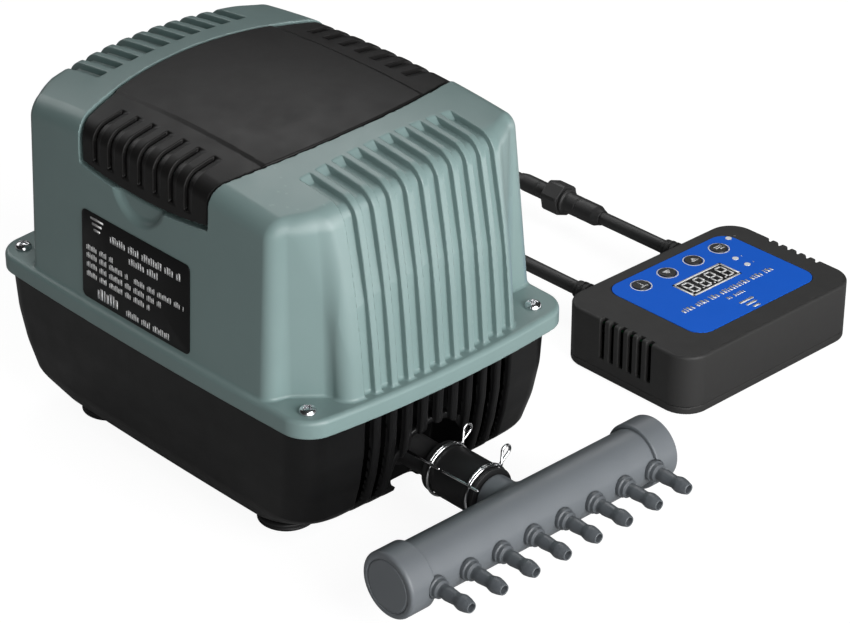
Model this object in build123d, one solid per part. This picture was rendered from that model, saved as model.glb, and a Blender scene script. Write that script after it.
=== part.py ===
from build123d import *
import math
import os

# Linear diaphragm air pump with an outlet manifold and a corded speed controller.
#
# Millimetres, +Z up.  The pump is laid out around its own centre: +X is the outlet side, -Y the
# front with the rating label.  The controller stands behind it on +Y.  When the nodes are written,
# the whole set is moved so that the origin is the centre of its footprint on the ground.

# ---------------------------------------------------------------- whole set
SET_CENTRE_X = 39.00
SET_CENTRE_Y = 84.70
RUN = 0.05            # radial clearance of a spigot or screw in its hole
GAP = 0.10            # gap between faces that rest on each other

# ---------------------------------------------------------------- pump housing
FLANGE_TOP = 72.3
FLANGE_BOTTOM = 64.2
FLANGE_HALF = (107.0, 75.3)
FLANGE_SHIFT_Y = 2.1             # the flange reaches further out at the back
FLANGE_PULL = (4.5, 1.8)       # how far the corners lie inside the middle of each side
FLANGE_CORNER = 11.7

DOME_SIDE = 102.9              # half width of the dome at the flange
DOME_SIDE_BOW = 400.0          # plan radius of the side walls
DOME_SIDE_DRAFT = 0.083
SHOULDER_SIDE = 99.2           # half width at the crease
SHOULDER_Z = 117.0
SHOULDER_BOW = 290.0
SHOULDER_DRAFT = 0.193
DOME_FRONT = 70.5
DOME_FRONT_BOW = 3000.0
DOME_FRONT_DRAFT = 0.052
DOME_REAR = 77.5               # the back wall starts further out and leans more
DOME_REAR_DRAFT = 0.114
CROWN_Z = 162.8
CROWN_Y = 15.8                 # the top skin is highest behind the middle
CROWN_RADIUS_X = 646.0
CROWN_RADIUS_Y = 350.0
DOME_ROUND = 6.0

POCKET_NEAR = (78.8, 61.5)     # where the screw pocket leaves the front wall
POCKET_FAR = (90.6, 47.8)      # where it meets the side wall
POCKET_BOTTOM = FLANGE_TOP

RIB_GROOVES = 10
RIB_PITCH = 8.35
RIB_CENTRE_Y = 4.2
RIB_GROOVE_WIDTH = 5.2
RIB_GROOVE_DEPTH = 2.6
RIB_INNER_X = 65.0

SIDE_WALL = 5.6
TOP_WALL = 7.0

# ---------------------------------------------------------------- filter cover
COVER_HALF = 52.3
COVER_BOW = 0.00272            # side edge: x = COVER_HALF - COVER_BOW * y * y
COVER_EDGE_Z = 131.2           # lowest point of the front edge
COVER_EDGE_RADIUS = 245.0
COVER_THICK = 3.4
COVER_GAP = 0.8
COVER_GROOVES = 7
COVER_GROOVE_PITCH = 9.8
COVER_GROOVE_WIDTH = 4.4
COVER_GROOVE_DEPTH = 1.8
COVER_GROOVE_END_Y = 50.0
COVER_GROOVE_LOW_Z = 137.0
COVER_FIELD_Y = 42.0
COVER_FIELD_STEP = 0.7
NOTCH_RADIUS = 17.5
NOTCH_Z = 137.5
NOTCH_DEPTH = 2.4

FILTER_SIZE = (70.0, 70.0, 10.0)
PAN_WALL = 2.5
PAN_FLOOR_Z = 138.0

# ---------------------------------------------------------------- lower housing and feet
LOWER_SECTIONS = (             # height, half width, half depth, corner radius
    (8.0, 84.3, 62.8, 24.0),
    (17.0, 94.6, 67.0, 13.5),
    (31.0, 98.8, 69.0, 12.5),
    (46.0, 101.4, 70.3, 12.0),
    (FLANGE_BOTTOM - 0.9, 102.4, 70.9, 12.0),
)
LOWER_PULL = (3.6, 1.4)
LOWER_WALL = 3.0
LOWER_FLOOR = 11.0
GASKET_THICK = 0.7

FOOT_XY = (59.4, 45.6)
FOOT_RADIUS = 12.5
FOOT_RIM = 4.0
FOOT_NECK = 9.0

SCREW_XY = (93.4, 61.9)
SCREW_RADIUS = 2.0
SCREW_HEAD_RADIUS = 3.75
SCREW_HEAD = 2.7
SCREW_LENGTH = 26.0
BOSS_RADIUS = 4.4

LABEL_SIZE = (70.4, 40.0)
LABEL_CENTRE = (-4.3, 94.4)
LABEL_CORNER = 2.5
LABEL_THICK = 0.4

# ---------------------------------------------------------------- outlet, hose and manifold
PORT_Z = 25.7
RECESS_RADIUS = 18.5
RECESS_X = 78.0
NIPPLE_RADIUS = 7.5
NIPPLE_BORE = 4.5
NIPPLE_END_X = 113.0
SLEEVE_X = (103.8, 133.4)
SLEEVE_RADIUS = 11.35
CLAMP_X = (107.5, 130.0)
CLAMP_WIRE = 0.65
CLAMP_EYE_LEAN = 34.0          # degrees from upright, towards the back
CLAMP_TAIL_LEAN = 55.0         # degrees from upright, towards the front
MANIFOLD_X = 152.5
MANIFOLD_RADIUS = 12.5
MANIFOLD_WALL = 2.3
MANIFOLD_LENGTH = 148.8
CAP_RADIUS = 14.3
CAP_LENGTH = 12.6
CAP_END = 2.8
STUB_RADIUS = 7.5
STUB_END_X = 116.0
BARB_COUNT = 8
BARB_PITCH = 17.31
BARB_TIP_X = 185.0
BARB_BOSS_RADIUS = 4.7
BARB_COLLAR_RADIUS = 4.0
BARB_SPIGOT_RADIUS = 3.0
BARB_BORE = 1.7
# distance behind the tip and radius, for the two rounded ridges of a barb
BARB_PROFILE = ((0.0, 2.3), (2.4, 3.05), (4.6, 3.4), (5.4, 3.35), (7.8, 2.7),
                (8.4, 2.7), (12.4, 3.05), (13.2, 3.05), (15.2, 2.7), (17.2, 2.7))

# ---------------------------------------------------------------- air chamber and motor
TANK_HALF = (72.0, 46.0)
TANK_TOP = 40.0
LID_THICK = 3.0
LID_TOP = TANK_TOP + 1.0 + LID_THICK
AXLE_Z = 86.0                  # height of the drive rod
FRAME_HALF = (28.0, 52.0)
FRAME_BOTTOM = 57.0
FRAME_WALL = 4.0
ROD_RADIUS = 4.0
ROD_END_RADIUS = 3.0
DIAPHRAGM_RADIUS = 27.0
HEAD_HALF = 29.0
TUBE_X = 49.0
TUBE_RADIUS = 4.6

# ---------------------------------------------------------------- controller
CTRL_CENTRE = (82.1, 187.0)
CTRL_SIZE = (77.7, 113.6, 29.4)
CTRL_CORNER = 12.5
CTRL_SPLIT = 4.0
CTRL_WALL = 2.2
CTRL_EDGE = 2.4
VENT_COUNT = 6
VENT_PITCH = 5.6
VENT_WIDTH = 2.2
VENT_LOW_Z = 9.6
OVERLAY_CENTRE = (-2.8, 4.4)
OVERLAY_HALF = (29.2, 39.9)
OVERLAY_CORNER = 8.0
OVERLAY_THICK = 0.5
BUTTON_X = -23.0               # from the controller's centre
BUTTON_Y = (-21.0, -3.6, 13.8, 31.2)
BUTTON_RADIUS = 4.2
BUTTON_TRAVEL = 0.5
DISPLAY_CENTRE = (-6.6, 5.0)
DISPLAY_HALF = (6.8, 16.0)
LED_XY = ((-26.7, 42.0), (-11.3, 29.6), (-3.8, 29.3))
BOARD_Z = 20.0
BUTTON_LOW_Z = 26.0

# ---------------------------------------------------------------- leads
LEAD_Z = 15.0
LEAD_RADIUS = 3.3
LEAD_MAINS_Y = 162.0
LEAD_PUMP_Y = 221.0
CORD_X = -70.0                 # where the lead enters the back of the tub
CORD_Z = 30.0
MAINS_PLUG_X = (-66.0, -30.0)
PLUG_X = (-42.2, -17.3)        # cable plug of the waterproof connector
NUT_X = (-52.4, -42.2)
SOCKET_X = (-73.5, -52.4)
NUT_RADIUS = 8.6
NUT_TURN = 10.0                # degrees, how the nut happens to stand
PLUG_RADIUS = 5.2
PLUG_COLLAR_RADIUS = 6.4
SOCKET_RADIUS = 4.4
NUT_BORE_RADIUS = PLUG_RADIUS + 0.26
NUT_LIP = 1.6                  # thickness of the lip that keeps the nut on the socket
CORD_TURN_X = -86.5            # where the pump lead starts to bend towards the pump


def rod_x(radius, x0, x1, y=0.0, z=0.0):
    """Solid round bar along X."""
    return Pos((x0 + x1) / 2, y, z) * Rot(0, 90, 0) * Cylinder(radius, abs(x1 - x0))


def rod_y(radius, y0, y1, x=0.0, z=0.0):
    """Solid round bar along Y."""
    return Pos(x, (y0 + y1) / 2, z) * Rot(90, 0, 0) * Cylinder(radius, abs(y1 - y0))


def rod_z(radius, z0, z1, x=0.0, y=0.0):
    """Solid round bar along Z."""
    return Pos(x, y, (z0 + z1) / 2) * Cylinder(radius, abs(z1 - z0))


def block(x, y, z):
    """Box between the two values given for each axis."""
    size = (x[1] - x[0], y[1] - y[0], z[1] - z[0])
    middle = ((x[0] + x[1]) / 2, (y[0] + y[1]) / 2, (z[0] + z[1]) / 2)
    return Pos(*middle) * Box(*size)


def corners(x, y):
    """The four places (+-x, +-y)."""
    return [(sx * x, sy * y) for sx in (-1, 1) for sy in (-1, 1)]


def fuse(solids):
    """One body from overlapping solids."""
    whole = solids[0]
    for solid in solids[1:]:
        whole = whole + solid
    return whole


# ---------------------------------------------------------------- pump housing
def bowed_outline(half, pull, corner):
    """Rounded rectangle whose four sides bow outwards."""
    x, y = half
    cx, cy = x - pull[0], y - pull[1]
    sides = [
        ThreePointArc((cx, -cy), (x, 0), (cx, cy)),
        ThreePointArc((cx, cy), (0, y), (-cx, cy)),
        ThreePointArc((-cx, cy), (-x, 0), (-cx, -cy)),
        ThreePointArc((-cx, -cy), (0, -y), (cx, -cy)),
    ]
    face = make_face(sides)
    return fillet(face.vertices(), corner)


def leaning_wall(reach, bow, draft, z0, height):
    """Round solid whose wall passes x = reach at z0 and leans inwards as it rises."""
    cone = Cone(bow, bow - draft * height, height, align=(Align.CENTER, Align.CENTER, Align.MIN))
    return Pos(reach - bow, 0, z0) * Rot(0, 0, 180) * cone


def crown(drop):
    """Body under the arched top skin, lowered by drop."""
    reach, low = 110.0, 40.0
    top = CROWN_Z - drop
    sag = CROWN_RADIUS_Y - math.sqrt(CROWN_RADIUS_Y ** 2 - reach ** 2)
    arc = ThreePointArc((0, -reach, top - sag), (0, 0, top), (0, reach, top - sag))
    rest = Polyline((0, reach, top - sag), (0, reach, low), (0, -reach, low), (0, -reach, top - sag))
    section = make_face([arc, rest])
    turn = 24.0
    axis = Axis((0, 0, top - CROWN_RADIUS_X), (0, 1, 0))
    return Pos(0, CROWN_Y, 0) * revolve(section.rotate(axis, -turn / 2), axis, revolution_arc=turn)


def dome_form(side=0.0, front=0.0, top=0.0):
    """The dome without grooves or pockets, its walls moved inwards by the given amounts."""
    base, height = FLANGE_BOTTOM - 4.0, 120.0
    low = DOME_SIDE + DOME_SIDE_DRAFT * (FLANGE_TOP - base) - side
    high = SHOULDER_SIDE + SHOULDER_DRAFT * (SHOULDER_Z - base) - side
    lower = leaning_wall(low, DOME_SIDE_BOW, DOME_SIDE_DRAFT, base, height)
    upper = leaning_wall(high, SHOULDER_BOW, SHOULDER_DRAFT, base, height)
    near = DOME_FRONT + DOME_FRONT_DRAFT * (FLANGE_TOP - base) - front
    far = DOME_REAR + DOME_REAR_DRAFT * (FLANGE_TOP - base) - front
    front_wall = leaning_wall(near, DOME_FRONT_BOW, DOME_FRONT_DRAFT, base, height)
    rear_wall = leaning_wall(far, DOME_FRONT_BOW, DOME_REAR_DRAFT, base, height)
    form = crown(top)
    for turn in (0, 180):
        form = form & (Rot(0, 0, turn) * lower)
        form = form & (Rot(0, 0, turn) * upper)
    form = form & (Rot(0, 0, 90) * rear_wall)
    return form & (Rot(0, 0, 270) * front_wall)


def pocket(grow, z0):
    """Prism that clears one corner of the dome above its screw; grow widens it."""
    near, far = POCKET_NEAR, POCKET_FAR
    outline = Polyline(
        (near[0] - grow, 90), (near[0] - grow, near[1] - grow * 0.6), (far[0] - grow * 0.6, far[1] - grow),
        (125, far[1] - grow), (125, 90), (near[0] - grow, 90))
    return extrude(Pos(0, 0, z0) * make_face(outline), 120)


def in_corners(solid):
    """A solid of the (+x, +y) corner repeated in all four."""
    right = solid + solid.mirror(Plane.XZ)
    return right + right.mirror(Plane.YZ)


def rib_places():
    """Y of the middle of each side groove."""
    first = RIB_CENTRE_Y - RIB_PITCH * (RIB_GROOVES - 1) / 2 - RIB_GROOVE_WIDTH / 2
    return [first + RIB_PITCH * i for i in range(RIB_GROOVES)]


def rib_cutter():
    """Grooves that run from the top skin over the shoulder down to the flange, on both sides."""
    core = dome_form(RIB_GROOVE_DEPTH, 0.0, RIB_GROOVE_DEPTH)
    slabs = []
    for y in rib_places():
        span = (y - RIB_GROOVE_WIDTH / 2, y + RIB_GROOVE_WIDTH / 2)
        slabs.append(block((RIB_INNER_X, 120), span, (FLANGE_TOP, 190)))
    right = fuse(slabs) - core
    ramp_z = CROWN_Z - 3.6
    ramp = Pos(RIB_INNER_X, 0, ramp_z) * Rot(0, 45, 0) * Box(3.6, 120, 6)
    right = right - ramp
    return right + right.mirror(Plane.YZ)


def cover_zone(grow, drop):
    """Body over the part of the dome that the filter cover fills, widened by grow."""
    half = COVER_HALF + grow
    reach = 80.0
    end = half - COVER_BOW * reach ** 2
    plan = make_face([
        ThreePointArc((end, -reach), (half, 0), (end, reach)),
        Line((end, reach), (-end, reach)),
        ThreePointArc((-end, reach), (-half, 0), (-end, -reach)),
        Line((-end, -reach), (end, -reach)),
    ])
    zone = extrude(plan, 200)
    low = COVER_EDGE_Z - drop
    top_of_arc = Pos(0, 0, low + COVER_EDGE_RADIUS) * Rot(90, 0, 0) * Cylinder(COVER_EDGE_RADIUS, 200)
    return zone & top_of_arc


def thumb_notch():
    """Shallow round scoop below the front edge of the cover."""
    scoop = Cone(NOTCH_RADIUS - 2.6, NOTCH_RADIUS, 2 * NOTCH_DEPTH)
    return Pos(-1.2, -DOME_FRONT + 0.6, NOTCH_Z) * Rot(90, 0, 0) * scoop


def upper_housing():
    """Moulded dome and flange, hollow, with the filter pan hanging under its top."""
    solid = dome_form()
    top_edges = [e for e in solid.edges() if e.center().Z > 140 and e.length > 30]
    solid = fillet(top_edges, DOME_ROUND)
    solid = solid & block((-120, 120), (-90, 90), (FLANGE_TOP - 1, 190))
    solid = solid - in_corners(pocket(0.0, POCKET_BOTTOM))
    solid = solid - rib_cutter()
    plate = extrude(Pos(0, FLANGE_SHIFT_Y, FLANGE_BOTTOM) * bowed_outline(FLANGE_HALF, FLANGE_PULL, FLANGE_CORNER),
                    FLANGE_TOP - FLANGE_BOTTOM)
    plate = fillet(plate.faces().sort_by(Axis.Z)[-1].edges(), 1.6)
    solid = solid + plate
    solid = solid - (cover_zone(COVER_GAP, COVER_GAP) - dome_form(30, COVER_THICK + GAP, COVER_THICK + GAP))
    solid = solid - thumb_notch()
    cavity = dome_form(SIDE_WALL, TOP_WALL, TOP_WALL) - in_corners(pocket(3.0, 40.0))
    corner_stock = [rod_z(BOSS_RADIUS + 3, 40, 200, x, y) for x, y in corners(*SCREW_XY)]
    cavity = cavity - fuse(corner_stock)
    half_x, half_y = FILTER_SIZE[0] / 2 + 0.5, FILTER_SIZE[1] / 2 + 0.5
    pan = block((-half_x - PAN_WALL, half_x + PAN_WALL), (-half_y - PAN_WALL, half_y + PAN_WALL),
                (PAN_FLOOR_Z - PAN_WALL, 200))
    solid = solid - (cavity - pan)
    solid = solid - block((-half_x, half_x), (-half_y, half_y), (PAN_FLOOR_Z, 200))
    for i in range(7):
        x = (i - 3) * 9.0
        solid = solid - block((x - 2.5, x + 2.5), (-26, 26), (PAN_FLOOR_Z - 5, PAN_FLOOR_Z + 1))
    for x, y in corners(*SCREW_XY):
        solid = solid - rod_z(SCREW_RADIUS + RUN, 40, 100, x, y)
    return solid


def filter_cover():
    """Lift-off lid that wraps over the front and back shoulders."""
    skin = dome_form(0, 0, 0)
    skin = fillet([e for e in skin.edges() if e.center().Z > 140 and e.length > 30], DOME_ROUND)
    field = block((-80, 80), (-COVER_FIELD_Y, COVER_FIELD_Y), (0, 200))
    lid = (skin & cover_zone(0.0, 0.0)) - dome_form(30, COVER_THICK, COVER_THICK)
    sunk = dome_form(30, -30, COVER_FIELD_STEP)
    lid = lid - ((block((-80, 80), (-60, 60), (140, 200)) - field) - sunk)
    floor = dome_form(30, COVER_GROOVE_DEPTH, COVER_GROOVE_DEPTH + COVER_FIELD_STEP)
    for i in range(COVER_GROOVES):
        x = -1.0 + (i - (COVER_GROOVES - 1) / 2) * COVER_GROOVE_PITCH
        for side in (-1, 1):
            ys = sorted((side * COVER_GROOVE_END_Y, side * 90))
            xs = (x - COVER_GROOVE_WIDTH / 2, x + COVER_GROOVE_WIDTH / 2)
            slot = block(xs, ys, (COVER_GROOVE_LOW_Z, 200))
            lid = lid - (slot - floor)
    return lid


# ---------------------------------------------------------------- lower housing
def lower_form(shrink=0.0, floor=8.0):
    """Tapered tub below the flange, its walls moved inwards by shrink."""
    faces = []
    for z, x, y, corner in LOWER_SECTIONS:
        outline = bowed_outline((x - shrink, y - shrink), LOWER_PULL, corner - shrink * 0.5)
        faces.append(Pos(0, 0, z) * outline)
    bottom = loft([faces[0], faces[1]])
    top = loft(faces[1:])
    return (bottom + top) & block((-120, 120), (-90, 90), (floor, FLANGE_BOTTOM))


def lower_housing():
    """Tub with fluted ends, the air chamber's walls, screw bosses and the outlet recess."""
    outer = lower_form()
    solid = outer - lower_form(LOWER_WALL, LOWER_FLOOR)
    core = lower_form(1.9)
    slabs = [block((60, 120), (y - 2.2, y + 2.2), (0, FLANGE_BOTTOM)) for y in rib_places()]
    flutes = fuse(slabs) - core
    solid = solid - flutes - flutes.mirror(Plane.YZ)
    x, y = TANK_HALF
    tank = block((-x, x), (-y, y), (LOWER_FLOOR - 1, TANK_TOP))
    inside = block((3 - x, x - 3), (3 - y, y - 3), (LOWER_FLOOR, TANK_TOP + 1))
    solid = solid + (tank - inside)
    posts = [rod_z(4.5, LOWER_FLOOR - 1, TANK_TOP, px, py) for px, py in corners(x - 5, y - 5)]
    solid = solid + fuse(posts)
    cup = rod_x(RECESS_RADIUS + 3, RECESS_X - 3, 120, z=PORT_Z) & outer
    boss = rod_x(12, x - 3, RECESS_X, z=PORT_Z)
    solid = solid + cup + boss
    solid = solid - rod_x(RECESS_RADIUS, RECESS_X, 130, z=PORT_Z)
    solid = solid - rod_x(6.0, 60, RECESS_X + 1, z=PORT_Z)
    bosses = [rod_z(BOSS_RADIUS, 36, FLANGE_BOTTOM - 0.9, px, py) for px, py in corners(*SCREW_XY)]
    solid = solid + (fuse(bosses) & outer)
    foot_bosses = [rod_z(5, LOWER_FLOOR - 1, 20, px, py) for px, py in corners(*FOOT_XY)]
    solid = solid + fuse(foot_bosses)
    for px, py in corners(*SCREW_XY):
        solid = solid - rod_z(SCREW_RADIUS + RUN, 45, 70, px, py)
    for px, py in corners(*FOOT_XY):
        solid = solid - rod_z(1.95, 5, 19, px, py)
    for px, py in corners(x - 5, y - 5):
        solid = solid - rod_z(1.55, 24, TANK_TOP + 1, px, py)
    solid = solid - rod_y(6.0, 50, 90, x=CORD_X, z=CORD_Z)
    return solid


def housing_gasket():
    """Flat rubber ring between flange and tub, with a hole for each screw."""
    _, x, y, corner = LOWER_SECTIONS[-1]
    outer = bowed_outline((x - 0.8, y - 0.8), LOWER_PULL, corner - 0.8)
    inner = bowed_outline((x - 3.2, y - 3.2), LOWER_PULL, corner - 3.2)
    ring = extrude(Pos(0, 0, FLANGE_BOTTOM - 0.8) * (outer - inner), GASKET_THICK)
    for px, py in corners(*SCREW_XY):
        ring = ring - rod_z(SCREW_RADIUS + 0.3, 40, 80, px, py)
    return ring


def pan_head_screw(radius, length, head_radius, head):
    """Pan-head screw standing on the origin, shank down, with a cross recess."""
    top = Pos(0, 0, head / 2) * Cylinder(head_radius, head)
    top = fillet(top.faces().sort_by(Axis.Z)[-1].edges(), head * 0.55)
    screw = top + Pos(0, 0, -length / 2) * Cylinder(radius, length)
    slot = head_radius * 0.36
    for turn in (0, 90):
        screw = screw - Pos(0, 0, head) * Rot(0, 0, turn) * Box(head_radius * 1.1, slot, head * 1.1)
    return screw


def housing_screws():
    """Four screws through the flange corners."""
    screw = pan_head_screw(SCREW_RADIUS, SCREW_LENGTH, SCREW_HEAD_RADIUS, SCREW_HEAD)
    return Compound(children=[Pos(x, y, FLANGE_TOP + 0.02) * screw for x, y in corners(*SCREW_XY)])


def rubber_feet():
    """Four round feet with a narrower neck and a counterbore for the screw."""
    feet = []
    for x, y in corners(*FOOT_XY):
        foot = rod_z(FOOT_RADIUS, 0, FOOT_RIM, x, y)
        foot = fillet(foot.edges(), 0.8)
        foot = foot + rod_z(FOOT_NECK, FOOT_RIM - 1, 8.0 - GAP, x, y)
        foot = foot - rod_z(4.6, -1, 2.6, x, y) - rod_z(1.95, -1, 20, x, y)
        feet.append(foot)
    return Compound(children=feet)


def foot_screws():
    """Screws that hold the feet, heads inside the counterbores."""
    screw = Rot(180, 0, 0) * pan_head_screw(1.9, 14.0, 3.9, 1.6)
    return Compound(children=[Pos(x, y, 2.58) * screw for x, y in corners(*FOOT_XY)])


def rating_label():
    """Thin plate that follows the front wall."""
    skin = dome_form(20, -LABEL_THICK, 20) - dome_form(10, -0.02, 10)
    plate = RectangleRounded(LABEL_SIZE[0], LABEL_SIZE[1], LABEL_CORNER)
    prism = extrude(Plane.XZ * Pos(*LABEL_CENTRE) * plate, 90)
    return skin & prism


# ---------------------------------------------------------------- outlet
def outlet_nipple():
    """Threaded tail in the air chamber's wall and a smooth spigot for the hose."""
    body = rod_x(NIPPLE_RADIUS, RECESS_X + 0.05, NIPPLE_END_X, z=PORT_Z)
    body = chamfer(body.faces().sort_by(Axis.X)[-1].edges(), 0.8)
    collar = rod_x(9.0, RECESS_X + 0.05, RECESS_X + 4, z=PORT_Z)
    tail = rod_x(6.0 - RUN, 66, RECESS_X + 1, z=PORT_Z)
    return body + collar + tail - rod_x(NIPPLE_BORE, 60, 120, z=PORT_Z)


def outlet_hose():
    """Short rubber sleeve over the nipple and the manifold's inlet."""
    sleeve = rod_x(SLEEVE_RADIUS, *SLEEVE_X, z=PORT_Z) - rod_x(NIPPLE_RADIUS + RUN, 90, 140, z=PORT_Z)
    return fillet(sleeve.edges(), 0.6)


def hose_clamp(x):
    """Spring clamp of two wire turns, with one standing eye and one straight tail."""
    ring_radius = SLEEVE_RADIUS + CLAMP_WIRE + 0.05
    turns = []
    for shift in (-0.6, 0.6):
        turns.append(Pos(x + shift, 0, PORT_Z) * Rot(0, 90, 0) * Torus(ring_radius, CLAMP_WIRE))
    lean = Pos(x, 0, PORT_Z) * Rot(-CLAMP_EYE_LEAN, 0, 0)
    eye_radius = 2.0
    eye = lean * Pos(0, 0, ring_radius + 6.0) * Rot(0, 90, 0) * Torus(eye_radius, CLAMP_WIRE)
    legs = [lean * rod_z(CLAMP_WIRE, ring_radius - 0.5, ring_radius + 6.0, 0, side * (eye_radius - 0.1))
            for side in (-1, 1)]
    angle = math.radians(CLAMP_TAIL_LEAN)
    reach = 1.06 * ring_radius
    tail = rod_x(CLAMP_WIRE, x - 14.0, x + 5.0, -reach * math.sin(angle), PORT_Z + reach * math.cos(angle))
    return fuse(turns + [eye] + legs + [tail])


def barb_places():
    """Y of each barb."""
    return [(i - (BARB_COUNT - 1) / 2) * BARB_PITCH for i in range(BARB_COUNT)]


def manifold_tube():
    """Main pipe with its inlet stub."""
    half = MANIFOLD_LENGTH / 2 - CAP_END - GAP
    inner = MANIFOLD_RADIUS - MANIFOLD_WALL
    pipe = rod_y(MANIFOLD_RADIUS, -half, half, MANIFOLD_X, PORT_Z)
    stub = rod_x(STUB_RADIUS, STUB_END_X, MANIFOLD_X - 3, z=PORT_Z)
    collar = rod_x(STUB_RADIUS + 1.6, 133.6, MANIFOLD_X - 3, z=PORT_Z)
    solid = pipe + stub + collar
    solid = solid - rod_y(inner, -half - 1, half + 1, MANIFOLD_X, PORT_Z)
    solid = solid - rod_x(NIPPLE_BORE, 110, MANIFOLD_X, z=PORT_Z)
    for y in barb_places():
        solid = solid - rod_x(BARB_SPIGOT_RADIUS, MANIFOLD_X, MANIFOLD_X + 20, y, PORT_Z)
    return solid


def manifold_cap(side):
    """Glued end cap, notched round the last barb."""
    end = side * MANIFOLD_LENGTH / 2
    cap = rod_y(CAP_RADIUS, end - side * CAP_LENGTH, end, MANIFOLD_X, PORT_Z)
    outer_face = cap.faces().sort_by(Axis.Y)[0 if side < 0 else -1]
    cap = fillet(outer_face.edges(), 1.2)
    cap = cap - rod_y(MANIFOLD_RADIUS + RUN, end - side * (CAP_LENGTH + 1), end - side * CAP_END,
                      MANIFOLD_X, PORT_Z)
    last = barb_places()[-1] * side
    return cap - rod_x(BARB_BOSS_RADIUS + GAP, MANIFOLD_X, MANIFOLD_X + 30, last, PORT_Z)


def barb_ridges(y):
    """Solid of revolution with the two ridges, tip towards +X."""
    rim = [(BARB_TIP_X - back, radius) for back, radius in BARB_PROFILE]
    outline = Polyline((rim[0][0], 0), *rim, (rim[-1][0], 0), close=True)
    return Pos(0, y, PORT_Z) * revolve(make_face(outline), Axis.X)


def manifold_barbs():
    """Eight push-on barbs for airline, each with a boss, a collar and two rounded ridges."""
    seat = MANIFOLD_X + MANIFOLD_RADIUS
    barbs = []
    for y in barb_places():
        saddle = rod_y(MANIFOLD_RADIUS + RUN, y - 9, y + 9, MANIFOLD_X, PORT_Z)
        barb = rod_x(BARB_BOSS_RADIUS, seat - 2.2, seat + 1.6, y, PORT_Z) - saddle
        barb = barb + rod_x(BARB_SPIGOT_RADIUS - RUN, seat - MANIFOLD_WALL, seat + 1, y, PORT_Z)
        barb = barb + rod_x(BARB_COLLAR_RADIUS, seat + 1, seat + 3.6, y, PORT_Z)
        barb = barb + barb_ridges(y)
        barbs.append(barb - rod_x(BARB_BORE, seat - 6, BARB_TIP_X + 2, y, PORT_Z))
    return Compound(children=barbs)


# ---------------------------------------------------------------- air chamber and motor
def tank_gasket():
    """Rubber ring on the rim of the air chamber."""
    x, y = TANK_HALF
    ring = block((-x, x), (-y, y), (TANK_TOP + 0.05, TANK_TOP + 0.95))
    ring = ring - block((3.5 - x, x - 3.5), (3.5 - y, y - 3.5), (0, 90))
    for px, py in corners(x - 5, y - 5):
        ring = ring + rod_z(4.4, TANK_TOP + 0.05, TANK_TOP + 0.95, px, py)
        ring = ring - rod_z(1.7, 0, 90, px, py)
    return ring


def tank_lid():
    """Plate that closes the air chamber, with two air inlets and four screw holes."""
    x, y = TANK_HALF
    lid = block((-x, x), (-y, y), (TANK_TOP + 1, LID_TOP))
    lid = fillet(lid.edges().filter_by(Axis.Z), 4)
    for px, py in corners(x - 5, y - 5):
        lid = lid - rod_z(1.6, 0, 90, px, py)
    for px in (-TUBE_X, TUBE_X):
        lid = lid - rod_z(TUBE_RADIUS + RUN, 0, 90, px, 0)
    return lid


def tank_screws():
    """Four small screws that hold the lid."""
    x, y = TANK_HALF
    screw = pan_head_screw(1.5, 18.0, 2.9, 2.0)
    return Compound(children=[Pos(px, py, LID_TOP + 0.02) * screw for px, py in corners(x - 5, y - 5)])


def vibration_mounts():
    """Four waisted rubber blocks under the motor frame."""
    mounts = []
    for x, y in corners(21, 40):
        lower = rod_z(7, LID_TOP + 0.05, LID_TOP + 4, x, y)
        waist = rod_z(5, LID_TOP + 3, FRAME_BOTTOM - 3, x, y)
        upper = rod_z(7, FRAME_BOTTOM - 4, FRAME_BOTTOM - 0.05, x, y)
        mounts.append(lower + waist + upper)
    return Compound(children=mounts)


def motor_frame():
    """Base plate, two end plates and a top bridge that hold cores and heads."""
    x, y = FRAME_HALF
    top = AXLE_Z + 30
    solid = block((-x, x), (-y, y), (FRAME_BOTTOM, FRAME_BOTTOM + FRAME_WALL))
    for side in (-1, 1):
        xs = sorted((side * x, side * (x - FRAME_WALL)))
        solid = solid + block(xs, (-y, y), (FRAME_BOTTOM, top))
    solid = solid + block((-x, x), (-8, 8), (top - FRAME_WALL, top))
    for side in (-1, 1):
        ys = sorted((side * (y - 2), side * y))
        solid = solid + block((-x, x), ys, (FRAME_BOTTOM, top))
    solid = solid - rod_x(20, -40, 40, z=AXLE_Z)
    for py, pz in corners(HEAD_HALF - 5, HEAD_HALF - 5):
        solid = solid - rod_x(1.8, -40, 40, py, AXLE_Z + pz)
    return solid


def stator_cores():
    """Two laminated E cores, poles towards the drive rod."""
    cores = []
    for side in (-1, 1):
        back = block((-19, 19), sorted((side * 44, side * 49.9)), (AXLE_Z - 12, AXLE_Z + 12))
        for x0, x1 in ((-19, -13), (-4, 4), (13, 19)):
            back = back + block((x0, x1), sorted((side * 11, side * 45)), (AXLE_Z - 12, AXLE_Z + 12))
        cores.append(back)
    return Compound(children=cores)


def coil_windings():
    """One winding on the middle leg of each core."""
    coils = []
    for side in (-1, 1):
        coil = block((-12, 12), sorted((side * 19, side * 43.5)), (AXLE_Z - 20, AXLE_Z + 20))
        coil = fillet(coil.edges().filter_by(Axis.Y), 4)
        coil = coil - block((-4.2, 4.2), (-60, 60), (AXLE_Z - 12.2, AXLE_Z + 12.2))
        coils.append(coil)
    return Compound(children=coils)


def drive_rod():
    """Rod with a flat carrier for the magnets and a stepped end at each diaphragm."""
    rod = rod_x(ROD_RADIUS, -26.9, 26.9, z=AXLE_Z) + rod_x(ROD_END_RADIUS, -38, 38, z=AXLE_Z)
    return rod + block((-18, 18), (-5, 5), (AXLE_Z - 12, AXLE_Z + 12))


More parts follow.
